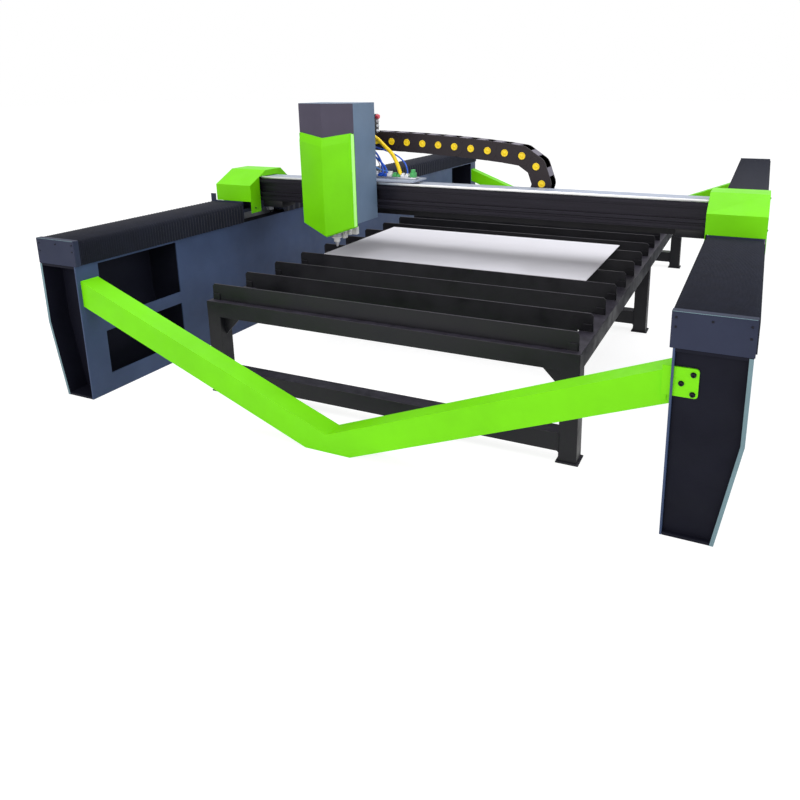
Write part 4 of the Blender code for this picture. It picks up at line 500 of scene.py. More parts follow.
def swept(points, radius_at, sides=10):
    """Tube along points whose radius is a function of the share of its length."""
    bm = bmesh.new()
    rings = []
    count = len(points)
    for index, point in enumerate(points):
        before, after = points[max(index - 1, 0)], points[min(index + 1, count - 1)]
        turn = (after - before).to_track_quat("Z", "X").to_matrix()
        radius = radius_at(index / (count - 1))
        rings.append([bm.verts.new(point + turn @ Vector((radius * math.cos(2 * math.pi * step / sides),
                                                           radius * math.sin(2 * math.pi * step / sides), 0)))
                      for step in range(sides)])
    for ring, following in zip(rings, rings[1:]):
        for step in range(sides):
            after = (step + 1) % sides
            bm.faces.new((ring[step], ring[after], following[after], following[step]))
    bm.faces.new(rings[0])
    bm.faces.new(rings[-1])
    return bm


def weld_line(bm, start, end, radius):
    """Weld bead from start to end, rippled as it was laid down in small steps."""
    start, end = Vector(start), Vector(end)
    steps = max(int((end - start).length / (radius * 0.9)), 4)
    points = [start.lerp(end, step / steps) for step in range(steps + 1)]
    join_into(bm, swept(points, lambda share: radius * (0.86 + 0.14 * math.cos(share * steps * math.pi)), 6))


def outward(side, distance):
    """X at a distance outward from a runway's inner face."""
    return side * (INNER_FACE + distance)


def soften(node, material, width=None, segments=2):
    """Give a model's own node its finish and lightly rounded edges."""
    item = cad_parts[node]
    item.data.materials.clear()
    item.data.materials.append(finish(material))
    weld = item.modifiers.new("weld corners", "WELD")
    weld.merge_threshold = 0.00001
    bevel = item.modifiers.new("round edges", "BEVEL")
    bevel.width = details().edge_radius if width is None else width
    bevel.segments = segments
    bevel.limit_method = "ANGLE"
    bevel.angle_limit = math.radians(28)
    bevel.harden_normals = False
    return item


def paint_nodes(material, names, width=None):
    """Give several of the model's nodes one finish."""
    for name in names:
        soften(name, material, width)


class PaintRunways(bpy.types.Operator):
    """Powder coats the runways and adds painted highlight strips on the outer walls' cut edges at their ends
    """
    bl_idname = "cutter.paint_runways"
    bl_label = "Paint runways"

    def execute(self, context):
        for side, word in SIDES:
            soften(word + "_runway_shell", "dark powder coated steel", 0.002)
            soften(word + "_runway_panel", "slate powder coated steel", 0.0015)
            soften(word + "_guide_bed", "ground way steel", 0.0006)
            for end, end_word in ENDS:
                self.add_edge_highlight_strips(side, word, end, end_word)
        return {"FINISHED"}

    def add_edge_highlight_strips(self, side, word, end, end_word):
        """Strip along the outer wall's cut edge, in a paler coat that paints the highlight the light lays on
        that edge.
        """
        wall, skin = 0.014, 0.0012
        foot, break_height = RUNWAY_FOOT, RUNWAY_TOP - RUNWAY_BREAK
        outline = [(RUNWAY_WIDTH - wall, RUNWAY_TOP - 0.002), (RUNWAY_WIDTH, RUNWAY_TOP - 0.002),
                   (RUNWAY_WIDTH, break_height), (foot, 0.001), (foot - wall, 0.001),
                   (RUNWAY_WIDTH - wall, break_height)]
        face = end * (RUNWAY_END + 0.0002)
        near, far = sorted((face, face + end * skin))
        bm = extruded([(outward(side, u), v) for u, v in outline], "Y", near, far, 0.0004)
        make_piece(f"{word}_{end_word}_cut_edge_highlight", bm, "worn plate edge", "frame")


# Places of an end cap's screws: outward from the inner face, and up from the runway's top
CAP_SCREWS = ((0.004, 0.108), (0.004, 0.075), (0.118, 0.106), (0.236, 0.104), (0.236, 0.064))


class FitEndCaps(bpy.types.Operator):
    """Paints the end caps and puts in their screws"""
    bl_idname = "cutter.fit_end_caps"
    bl_label = "Fit end caps"

    def execute(self, context):
        radius = details().cap_screw
        for side, word in SIDES:
            for end, end_word in ENDS:
                node = f"{end_word}_{word}_end_cap"
                soften(node, "violet grey powder coated steel", 0.0012)
                face = end * (RUNWAY_END + 0.0001)
                places = [(outward(side, u), face, RUNWAY_TOP + v) for u, v in CAP_SCREWS]
                fasteners(f"{node}_screws", socket_screw, radius, radius * 0.62, places, (0, end, 0),
                          "black oxide steel", "frame")
                # thin pale strip along the cap's top edge: a painted highlight of the light on that edge
                front = high(node).y if end > 0 else low(node).y
                near, far = sorted((front, front + end * 0.0010))
                rim = box_mesh((low(node).x + 0.003, near, GUARD_TOP - 0.0022),
                               (high(node).x - 0.003, far, GUARD_TOP - 0.0004), 0.0003)
                make_piece(f"{node}_rim", rim, "worn plate edge", "frame")
        return {"FINISHED"}


class FoldBellows(bpy.types.Operator):
    """Makes the pleated way covers in front of and behind the gantry"""
    bl_idname = "cutter.fold_bellows"
    bl_label = "Fold bellows"

    def execute(self, context):
        for side, word in SIDES:
            for end, end_word in ENDS:
                node = f"{word}_{end_word}_bellows"
                folds = details().front_folds if end < 0 else details().rear_folds
                near = [low(node).y, high(node).y]
                outer, inner = (near[0], near[1]) if end < 0 else (near[1], near[0])
                piece = make_piece(node + "_pleats", self.pleats(side, node, folds, outer, inner),
                                   "coated polyester fabric", None, 50.0)
                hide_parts(node)
                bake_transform(piece)
        return {"FINISHED"}

    def pleats(self, side, node, folds, start, end):
        """Upside-down U in sharp outer folds, packed closer by the cap than by the gantry."""
        depth, skin, packing, proud = details().fold_depth, 0.0016, 0.55, 0.008
        floor = low(node).z
        inner_x, outer_x = sorted((abs(low(node).x) - INNER_FACE, abs(high(node).x) - INNER_FACE))
        inner_x, outer_x = inner_x - proud, outer_x + proud
        corner = 0.016
        stations = ((0.0, 1.0), (0.20, 0.72), (0.46, 0.02), (0.5, 0.0), (0.54, 0.02), (0.80, 0.72))
        bm = bmesh.new()
        rings = []
        total = folds * len(stations)
        for step in range(total + 1):
            share, sink = stations[step % len(stations)] if step < total else (0.0, 1.0)
            along = ((step // len(stations)) + (share if step < total else 0.0)) / folds
            y = start + (end - start) * (packing * along + (1 - packing) * along ** 2)
            inset = depth * sink
            left, right, top = inner_x + inset, outer_x - inset, GUARD_TOP - inset
            outer_path = [(left, floor), (left, top - corner), (left + corner, top), (right - corner, top),
                          (right, top - corner), (right, floor)]
            inner_path = [(right - skin, floor), (right - skin, top - corner), (right - corner, top - skin),
                          (left + corner, top - skin), (left + skin, top - corner), (left + skin, floor)]
            rings.append([bm.verts.new((outward(side, u), y, v)) for u, v in outer_path + inner_path])
        count = len(rings[0])
        for ring, following in zip(rings, rings[1:]):
            for step in range(count):
                after = (step + 1) % count
                bm.faces.new((ring[step], ring[after], following[after], following[step]))
        bm.faces.new(rings[0])
        bm.faces.new(rings[-1])
        return bm


class DressBraces(bpy.types.Operator):
    """Paints the V braces, welds their ends and bolts the bracket"""
    bl_idname = "cutter.dress_braces"
    bl_label = "Dress braces"

    def execute(self, context):
        paint_nodes("lime powder coated steel", ("front_brace", "rear_brace"), 0.003)
        radius = details().bracket_bolt
        face = low("front_brace").y
        places = [(INNER_FACE + u, face, RUNWAY_TOP - v)
                  for u, v in ((0.0715, 0.0903), (0.0341, 0.1262), (0.0726, 0.1608))]
        fasteners("bracket_bolts", washer_bolt, radius, 0.011, places, (0, -1, 0), "black oxide steel",
                  "frame")
        bead = details().weld_radius
        for end, end_word in ENDS:
            near, far = end * (RUNWAY_END - 0.022), end * (RUNWAY_END - 0.122)
            bm = bmesh.new()
            for side, _ in SIDES:
                x = side * (INNER_FACE - bead * 0.5)
                upper, lower = RUNWAY_TOP - 0.080, RUNWAY_TOP - 0.206
                corners = [(x, near, upper), (x, far, upper), (x, far, lower), (x, near, lower)]
                for start, stop in zip(corners, corners[1:]):
                    weld_line(bm, start, stop, bead)
            make_piece(end_word + "_brace_welds", bm, "lime powder coated steel", "frame", 60.0)
        return {"FINISHED"}


class DressTable(bpy.types.Operator):
    """Enamels the table and slats, adds the portals' welds and feet, and finishes the sheet"""
    bl_idname = "cutter.dress_table"
    bl_label = "Dress table"

    def execute(self, context):
        names = [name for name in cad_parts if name.startswith(("table_", "slat_"))]
        paint_nodes("black enamelled steel", names, 0.0015)
        soften("steel_sheet", "rolled sheet steel", 0.0004)
        bead = details().weld_radius
        leg, bar_bottom, bar_top = 0.080, 0.050, 0.134
        lap, plate = 0.010, 0.006
        for word in ("front", "middle", "rear"):
            node = "table_portal_" + word
            front, rear = low(node).y, low(node).y + leg
            bm = bmesh.new()
            for outer, inner in ((low(node).x, low(node).x + leg), (high(node).x, high(node).x - leg)):
                for level in (bar_bottom, bar_top):
                    for y in (front, rear):
                        weld_line(bm, (inner, y, level), (inner, (front + rear) / 2, level), bead)
                weld_line(bm, (inner, front, bar_bottom + 0.002), (inner, front, bar_top - 0.002), bead)
                foot = box_mesh((min(outer, inner) - lap, front - lap, 0.0),
                                (max(outer, inner) + lap, rear + lap, plate), 0.0015)
                join_into(bm, foot)
            make_piece(node + "_welds_and_feet", bm, "black enamelled steel", "frame", 60.0)
        return {"FINISHED"}


class DressBeam(bpy.types.Operator):
    """Finishes the beam: anodised faces, a top plate and lip that paint its bright top highlight, rack teeth,
    rail plugs and end brackets
    """
    bl_idname = "cutter.dress_beam"
    bl_label = "Dress beam"

    def execute(self, context):
        soften("gantry_beam", "dark anodised aluminium", 0.0008)
        left = high("left_gantry_cover").x + 0.001
        right = low("right_gantry_cover").x - 0.001
        band = RAIL_FACE_Y + 0.012
        # pale plate on the beam's top: a painted highlight of the reflection on the top face
        plate = box_mesh((left, band - 0.0012, BEAM_TOP + 0.0003),
                         (right, BEAM_REAR_Y - 0.002, BEAM_TOP + 0.0028), 0.0008)
        make_piece("beam_top_plate", plate, "pale slate painted steel", "gantry")
        # bright strip along the beam's top front edge: a painted highlight of the light on that edge
        lip = box_mesh((left, band - 0.0030, BEAM_TOP - 0.0030),
                       (right, band - 0.0013, BEAM_TOP + 0.0105), 0.0005)
        make_piece("beam_top_lip", lip, "satin anodised aluminium", "gantry")
        pitch = details().rail_bolt_pitch
        count = int((right - left) / pitch)
        places = [(left + pitch * (index + 0.5), RAIL_FACE_Y + 0.0002, z)
                  for index in range(count) for z in (BEAM_BOTTOM + 0.018, BEAM_TOP - 0.018)]
        fasteners("cross_rail_plugs", socket_screw, 0.0042, 0.0006, places, (0, -1, 0), "black oxide steel",
                  "gantry")
        self.add_rack_teeth(left, right)
        for side, word in SIDES:
            start = left if side < 0 else right
            ends = sorted((start, start - side * 0.150))
            bracket = box_mesh((ends[0], RAIL_FACE_Y + 0.020, BEAM_BOTTOM - 0.042),
                               (ends[1], BEAM_REAR_Y - 0.020, BEAM_BOTTOM - 0.0003), 0.002)
            make_piece(word + "_beam_bracket", bracket, "black enamelled steel", "gantry")
        return {"FINISHED"}

    def add_rack_teeth(self, left, right):
        """Teeth along the rack's upper face, as fine ridges."""
        pitch = details().rack_pitch
        base = BEAM_BOTTOM + 0.036 + 0.003 + 0.018
        front, rear = RAIL_FACE_Y + 0.0022, RAIL_FACE_Y + 0.0235
        bm = bmesh.new()
        for index in range(int((right - left) / pitch)):
            x = left + pitch * index
            outline = [(x + pitch * 0.12, base - 0.0002), (x + pitch * 0.30, base + 0.0005),
                       (x + pitch * 0.70, base + 0.0005), (x + pitch * 0.88, base - 0.0002)]
            join_into(bm, extruded(outline, "Y", front, rear))
        make_piece("rack_teeth", bm, "black oxide steel", "gantry")


class DressCovers(bpy.types.Operator):
    """Paints the gantry's end covers, saddles and tray, and puts in the covers' screws"""
    bl_idname = "cutter.dress_covers"
    bl_label = "Dress covers"

    def execute(self, context):
        paint_nodes("violet grey powder coated steel", ("left_saddle", "right_saddle"), 0.001)
        soften("cable_tray", "black enamelled steel", 0.0008)
        for side, word in SIDES:
            node = word + "_gantry_cover"
            soften(node, "lime powder coated steel", 0.0014)
            front, rear = low(node).y, high(node).y
            inner = (low(node).x if side > 0 else high(node).x)
            outer = (high(node).x if side > 0 else low(node).x)
            places = [(outer, front + along, RUNWAY_TOP + rise)
                      for along, rise in ((0.05, 0.170), (0.36, 0.170), (0.205, 0.302))]
            fasteners(word + "_cover_outer_screws", socket_screw, 0.0055, 0.0034, places, (side, 0, 0),
                      "black oxide steel", "gantry")
            places = [(inner, front + along, RUNWAY_TOP + 0.095) for along in (0.04, 0.385)]
            fasteners(word + "_cover_inner_screws", socket_screw, 0.0055, 0.0034, places, (-side, 0, 0),
                      "black oxide steel", "gantry")
            places = [(outward(side, u), rear, RUNWAY_TOP + 0.180) for u in (0.04, 0.20)]
            fasteners(word + "_cover_rear_screws", socket_screw, 0.0055, 0.0034, places, (0, 1, 0),
                      "black oxide steel", "gantry")
        return {"FINISHED"}


class DressDrives(bpy.types.Operator):
    """Finishes the motors, pinions and lift screw"""
    bl_idname = "cutter.dress_drives"
    bl_label = "Dress drives"

    def execute(self, context):
        paint_nodes("black motor enamel", ("left_drive_motor", "right_drive_motor", "cross_drive_motor",
                                           "lift_motor"), 0.0015)
        paint_nodes("zinc plated steel", ("left_pinion", "right_pinion", "cross_pinion", "lift_screw"),
                    0.0003)
        return {"FINISHED"}


# Drag chain: the same path as the model's own runs

CHAIN = {"bend_x": 0.320, "centre_z": BEAM_TOP + 0.016, "radius": 0.166, "sag": math.radians(6.3),
         "fixed_x": -0.900, "arm_x": -0.750, "half_height": 0.0575}
UPPER_PINS, UPPER_LEAD = 10, 0.059
LOWER_PINS, LOWER_LEAD = 11, 0.050
LOOP_PINS, LOOP_START, LOOP_STEP = 5, 164.1, 36.2

# how far the links' side plates stand in from the chain's faces, in turn, so that no two that lie over each
# other share a plane
PLATE_STEPS = (0.0, 0.0012, 0.0003, 0.0015)


def upper_point(x):
    """Point of the upper run, which sags from the carriage's arm down to the loop."""
    start_x = CHAIN["bend_x"] + CHAIN["radius"] * math.sin(CHAIN["sag"])
    start_z = CHAIN["centre_z"] + CHAIN["radius"] * math.cos(CHAIN["sag"])
    length = start_x - CHAIN["arm_x"]
    share = (start_x - x) / length
    return Vector((x, 0, start_z + length * math.tan(CHAIN["sag"]) / 2 * (2 * share - share ** 2)))


def lower_point(x):
    """Point of the lower run, which lies level."""
    return Vector((x, 0, CHAIN["centre_z"] - CHAIN["radius"]))


def loop_point(degrees):
    """Point of the loop, its angle counted from below."""
    angle = math.radians(degrees)
    return Vector((CHAIN["bend_x"] + CHAIN["radius"] * math.sin(angle), 0,
                   CHAIN["centre_z"] - CHAIN["radius"] * math.cos(angle)))


def chain_pins():
    """Pins of the upper run from the loop on, of the loop from above, and of the lower run from the loop."""
    pitch = details().link_pitch
    upper = [upper_point(CHAIN["bend_x"] - UPPER_LEAD - pitch * index) for index in range(UPPER_PINS)]
    loop = [loop_point(LOOP_START - LOOP_STEP * index) for index in range(LOOP_PINS)]
    lower = [lower_point(CHAIN["bend_x"] - LOWER_LEAD - pitch * index) for index in range(LOWER_PINS)]
    return upper, loop, lower


def link_plate(length, radius, square):
    """Side plate between two pins: round about both, or square at the far end of the run."""
    steps = 9
    turns = [math.pi / 2 + math.pi * step / steps for step in range(steps + 1)]
    near = [(radius * math.cos(turn), radius * math.sin(turn)) for turn in turns]
    if square:
        return near + [(length, -radius), (length, radius)]
    return near + [(length - radius * math.cos(turn), -radius * math.sin(turn)) for turn in turns]


def follow_carriage(piece):
    """Bake a piece's place into its mesh.
    """
    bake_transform(piece)


class LinkDragChain(bpy.types.Operator):
    """Builds the drag chain link by link, with crossbars and yellow pin caps"""
    bl_idname = "cutter.link_drag_chain"
    bl_label = "Link drag chain"

    def execute(self, context):
        upper, loop, lower = chain_pins()
        self.link_run("chain_upper_run", upper + [upper_point(CHAIN["arm_x"])], 1, 1.0)
        self.link_run("chain_lower_run", lower + [lower_point(CHAIN["fixed_x"])], LOOP_PINS + 1, 0.0)
        for piece in self.pieces("chain_loop", "", [upper[0], *loop, lower[0]], loop, False, 0):
            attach(piece, "chain_loop_body")
        return {"FINISHED"}

    def link_run(self, node, stops, first, end_share):
        """Links of one run, each baked in place. The shares of the carriage's travel that its pins keep, a
        half next to the loop and all or none at the far end, are worked out but not used. The lower run's pin
        caps stay round."""
        length = stops[-1].x - stops[0].x
        shares = [0.5 + (end_share - 0.5) * (stop.x - stops[0].x) / length for stop in stops]
        ends = [(stop.x, share) for stop, share in zip(stops, shares)]
        for index, (near, far) in enumerate(zip(ends, ends[1:])):
            square = index == len(stops) - 2
            pair = stops[index:index + 2]
            rigid = (near[0] + 1.0, near[1] + 0.001)
            parts = self.pieces(node, f"_{index + 1:02d}", pair, pair[:1], square, first + index)
            for part, end in zip(parts, (far, far, far if end_share else rigid)):
                follow_carriage(part)

    def pieces(self, node, number, stops, pins, square, first):
        """Side plates, crossbars and pin caps between these stops, one piece for each material; first is the
        first link's place in the chain, which sets how far its plates stand in from the outer face."""
        black = make_piece(node + "_links" + number, self.links(stops, pins, square, first),
                           "black brown nylon", None)
        # the crossbars' lighter grey is a painted sheen of the light on their faces
        grey = make_piece(node + "_crossbars" + number, self.crossbars(stops, square),
                          "grey brown nylon", None)
        yellow = make_piece(node + "_pin_caps" + number, self.caps(pins), "yellow acetal", None)
        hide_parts(node)
        return black, grey, yellow

    def spans(self, stops, square):
        """Each link's frame, X along it from its first pin, with its length and whether its end is square."""
        for index, (here, there) in enumerate(zip(stops, stops[1:])):
            along = (there - here).normalized()
            turn = Matrix((along, (0, 1, 0), along.cross(Vector((0, 1, 0))))).transposed().to_4x4()
            yield Matrix.Translation(here) @ turn, (there - here).length, square and index == len(stops) - 2

    def links(self, stops, pins, square, first):
        """Front and rear side plates of each link, and a raised ring round each pin in front."""
        radius, front, rear = CHAIN["half_height"], CHAIN_FRONT_Y, CHAIN_REAR_Y
        bm = bmesh.new()
        for index, (at, length, last) in enumerate(self.spans(stops, square)):
            step = PLATE_STEPS[(index + first) % len(PLATE_STEPS)]
            plate = link_plate(length, radius - step / 2, last)
            for near, far in ((front + step, front + 0.009), (rear - 0.009, rear - step)):
                join_into(bm, extruded(plate, "Y", near, far, 0.0008, 1), at)
        outer, inner = 0.0270, details().pin_radius + 0.0006
        for pin in pins:
            ring = turned([(inner, 0.0), (inner, 0.0010), (outer - 0.001, 0.0010), (outer, 0.0)], 28)
            join_into(bm, ring, Matrix.Translation(pin + Vector((0, front, 0))) @ facing((0, -1, 0)))
        return bm

    def crossbars(self, stops, square):
        """Bars that close each link at its outer and inner edge."""
        half, thickness, reach = 0.026, 0.0095, CHAIN["half_height"] + 0.0006
        bm = bmesh.new()
        for at, length, last in self.spans(stops, square):
            middle = length / 2
            long = min(half, middle - 0.004)
            for edge in (-1, 1):
                low_v, high_v = sorted((edge * reach, edge * (reach - thickness)))
                bar = box_mesh((middle - long, CHAIN_FRONT_Y + 0.0060, low_v),
                               (middle + long, CHAIN_REAR_Y - 0.0060, high_v), 0.0012, 1)
                join_into(bm, bar, at)
        return bm

    def caps(self, pins):
        """Round cap on each pin, in front and behind, with a shallow groove."""
        radius = details().pin_radius
        cap = [(0, 0.0026), (radius * 0.35, 0.0026), (radius * 0.42, 0.0018), (radius * 0.72, 0.0018),
               (radius * 0.80, 0.0026), (radius * 0.93, 0.0022), (radius, 0.0008), (radius, -0.0010),
               (0, -0.0010)]
        bm = bmesh.new()
        for pin in pins:
            for y, direction in ((CHAIN_FRONT_Y, -1), (CHAIN_REAR_Y, 1)):
                join_into(bm, turned(cap, 28),
                          Matrix.Translation(pin + Vector((0, y, 0))) @ facing((0, direction, 0)))
        return bm


# Front panel: how far its ridge stands out, and how far its upper and lower edges drop at the ridge

RIDGE, TOP_DROP, BOTTOM_DROP = 0.044, 0.030, 0.065


def ridge_share(x):
    """One on the front panel's ridge, and zero at its sides."""
    left, right = low("head_front_panel").x, high("head_front_panel").x
    return 1 - abs(x - (left + right) / 2) / ((right - left) / 2)


def panel_y(x):
    """Y of the front panel's raised face."""
    return low("head_front_panel").y + RIDGE - 0.0005 - RIDGE * ridge_share(x)


def panel_z(x, height, drop):
    """Z of an edge that is at a height at the sides and drops towards the ridge."""
    return height - drop * ridge_share(x)


class DressHead(bpy.types.Operator):
    """Finishes the head: brow plate, pan-shaped front panel, nozzle parts and air manifold"""
    bl_idname = "cutter.dress_head"
    bl_label = "Dress head"

    def execute(self, context):
        soften("head_cover", "grey powder coated steel", 0.0014)
        # the carriage plate gets the pale paint, a painted highlight that joins the beam's bright top line
        soften("carriage_plate", "pale slate painted steel", 0.001)
        soften("cutting_head", "white powder coated aluminium", 0.0006)
        soften("nozzle", "white glazed ceramic", 0.0004)
        self.add_brow_plate()
        self.add_front_panel()
        self.add_panel_rims()
        self.add_nozzle_parts()
        self.add_manifold()
        return {"FINISHED"}

    def add_brow_plate(self):
        """Folded plate on the cover's ridged front, above the front panel, darker than the cover as painted
        shade.
        """
        left, right, ridge_y = low("head_cover").x, high("head_cover").x, low("head_cover").y
        top, seam = high("head_cover").z, high("head_front_panel").z
        bm = bmesh.new()
        rows = []
        back, front, lap, trim = -0.0003, -0.0018, 0.012, 0.001
        for x, y, drop in ((left, ridge_y + RIDGE, 0.0), ((left + right) / 2, ridge_y, TOP_DROP),
                           (right, ridge_y + RIDGE, 0.0)):
            foot = seam - drop - lap
            rows.append([bm.verts.new((x, y + off, z)) for off, z in
                         ((back, foot), (back, top - trim), (front, top - trim), (front, foot))])
        for first, second in zip(rows, rows[1:]):
            for step in range(4):
                after = (step + 1) % 4
                bm.faces.new((first[step], first[after], second[after], second[step]))
        bm.faces.new(rows[0])
        bm.faces.new(rows[-1])
        make_piece("brow_plate", bm, "brow powder coated steel", "carriage", 12.0)

    def add_front_panel(self):
        """Front panel pressed as a shallow pan: a raised ridged face inside sloping borders."""
        node = "head_front_panel"
        left, right, back = low(node).x, high(node).x, high(node).y
        top, bottom = high(node).z, low(node).z + BOTTOM_DROP
        left_border, side_border, top_border, bottom_border = 0.006, 0.021, 0.047, 0.007
        side_slope, edge_slope = 0.017, 0.011
        columns = [left, left + left_border, (left + right) / 2, right - side_border, right]
        levels = ((top, TOP_DROP, 0.0, False), (top, TOP_DROP, -top_border, True),
                  (bottom, BOTTOM_DROP, bottom_border, True), (bottom, BOTTOM_DROP, 0.0, False))
        bm = bmesh.new()
        grid = []
        for x, raised in zip(columns, (False, True, True, True, False)):
            column = []
            for height, drop, inset, lifted in levels:
                back_off = max(0.0 if raised else side_slope, 0.0 if raised and lifted else edge_slope)
                column.append(bm.verts.new((x, panel_y(x) + back_off, panel_z(x, height, drop) + inset)))
            grid.append(column)
        for first, second in zip(grid, grid[1:]):
            for step in range(3):
                bm.faces.new((first[step], first[step + 1], second[step + 1], second[step]))
        rim = [column[0] for column in grid] + [grid[-1][1], grid[-1][2]]
        rim += [column[3] for column in reversed(grid)] + [grid[0][2], grid[0][1]]
        folded = [bm.verts.new((vert.co.x, min(vert.co.y + 0.004, back - 0.0002), vert.co.z)) for vert in rim]
        for step in range(len(rim)):
            after = (step + 1) % len(rim)
            bm.faces.new((rim[step], rim[after], folded[after], folded[step]))
        bmesh.ops.recalc_face_normals(bm, faces=bm.faces)
        piece = make_piece("front_panel_pan", bm, "lime powder coated steel", None, 20.0)
        solid = piece.modifiers.new("sheet", "SOLIDIFY")
        solid.thickness = 0.002
        solid.offset = -1.0
        round_edges = piece.modifiers.new("round edges", "BEVEL")
        round_edges.width = 0.0009
        round_edges.segments = 2
        round_edges.limit_method = "ANGLE"
        round_edges.angle_limit = math.radians(12)
        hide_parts(node)
        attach(piece, "carriage")

    def add_panel_rims(self):
        """Rims folded back along the front panel's two upright edges, in a paler lime that paints the
        highlight on them.
        """
        node = "head_front_panel"
        left, right = low(node).x, high(node).x
        proud, skin, trim = 0.0024, 0.0008, 0.004
        ends = ((high(node).z, TOP_DROP, -trim), (low(node).z + BOTTOM_DROP, BOTTOM_DROP, trim))
        bm = bmesh.new()
        for x_near, x_far, back_near, back_far in ((right - 0.0125, right - 0.0008, 0.0072, 0.0164),
                                                   (left + 0.0006, left + 0.0040, 0.0148, 0.0060)):
            corners = []
            for x, back_off in ((x_near, back_near), (x_far, back_far)):
                y = panel_y(x) + back_off - proud
                corners += [bm.verts.new((x, y - thick, panel_z(x, height, drop) + short))
                            for thick in (0.0, skin) for height, drop, short in ends]
            near_low, near_high = (corners[1], corners[3]), (corners[0], corners[2])
            far_low, far_high = (corners[5], corners[7]), (corners[4], corners[6])
            bm.faces.new((near_low[1], near_high[1], far_high[1], far_low[1]))
            bm.faces.new((near_low[0], far_low[0], far_high[0], near_high[0]))
            bm.faces.new((near_low[0], near_high[0], near_high[1], near_low[1]))
            bm.faces.new((far_low[0], far_low[1], far_high[1], far_high[0]))
            bm.faces.new((near_high[0], far_high[0], far_high[1], near_high[1]))
            bm.faces.new((near_low[0], near_low[1], far_low[1], far_low[0]))
        make_piece("front_panel_rims", bm, "pale lime powder coated steel", "carriage", 20.0)

    def add_nozzle_parts(self):
        """Knurled ring, the tip sleeve, and the sensor and valve housings under the cutting head."""
        centre = (low("nozzle") + high("nozzle")) / 2
        at = Matrix.Translation((centre.x, centre.y, low("nozzle").z))
        bm = bmesh.new()
        ring = [(0.0345, 0.062), (0.0365, 0.064), (0.0365, 0.080), (0.0345, 0.082)]
        join_into(bm, turned(ring, 40), at)
        make_piece("sensor_ring", bm, "zinc plated steel", "head")
        bm = bmesh.new()
        tip = [(0.0046, 0.0005), (0.0056, 0.0017), (0.0150, 0.0290), (0.0145, 0.0305)]
        join_into(bm, turned(tip, 28), at)
        make_piece("nozzle_tip_sleeve", bm, "satin anodised aluminium", "head")
        foot, middle_y = low("cutting_head").z, centre.y + 0.020
        bm = box_mesh((centre.x + 0.037, middle_y - 0.016, foot - 0.030),
                      (centre.x + 0.056, middle_y + 0.016, foot + 0.020), 0.003)
        join_into(bm, box_mesh((centre.x + 0.060, middle_y - 0.017, foot - 0.004),
                               (centre.x + 0.100, middle_y + 0.017, foot + 0.046), 0.004))
        join_into(bm, box_mesh((centre.x + 0.104, middle_y - 0.015, foot - 0.001),
                               (centre.x + 0.138, middle_y + 0.015, foot + 0.046), 0.004))
        make_piece("sensor_and_valve_housings", bm, "white powder coated aluminium", "head")

    def add_manifold(self):
        """Small air manifold with its fittings on the back of the carriage plate."""
        back = RAIL_FACE_Y - 0.018
        bm = bmesh.new()
        top = high("carriage_plate").z
        block = box_mesh((-0.560, back + 0.0002, top - 0.155), (-0.506, back + 0.120, top - 0.040), 0.003)
        join_into(bm, block)
        make_piece("air_manifold", bm, "black motor enamel", "carriage")
        bm = bmesh.new()
        for drop in (0.138, 0.110, 0.082):
            fitting = turned([(0, 0.016), (0.005, 0.016), (0.0065, 0.012), (0.0065, 0.006), (0.009, 0.005),
                              (0.009, 0.0), (0, 0.0)], 16)
            join_into(bm, fitting, Matrix.Translation((-0.506, back + 0.095, top - drop)) @ facing((1, 0, 0)))
        make_piece("air_fittings", bm, "white cable sheath", "carriage")
        bm = bmesh.new()
        knob = turned([(0, 0.022), (0.011, 0.022), (0.013, 0.018), (0.013, 0.004), (0.009, 0.002),
                       (0.009, 0.0), (0, 0.0)], 24)
        join_into(bm, knob, Matrix.Translation((-0.506, back + 0.088, top - 0.055)) @ facing((1, 0, 0)))
        make_piece("manifold_knob", bm, "red knob nylon", "carriage")


# Hoses between the junction block and the terminal bar: name, radius, finish, points, stiffness

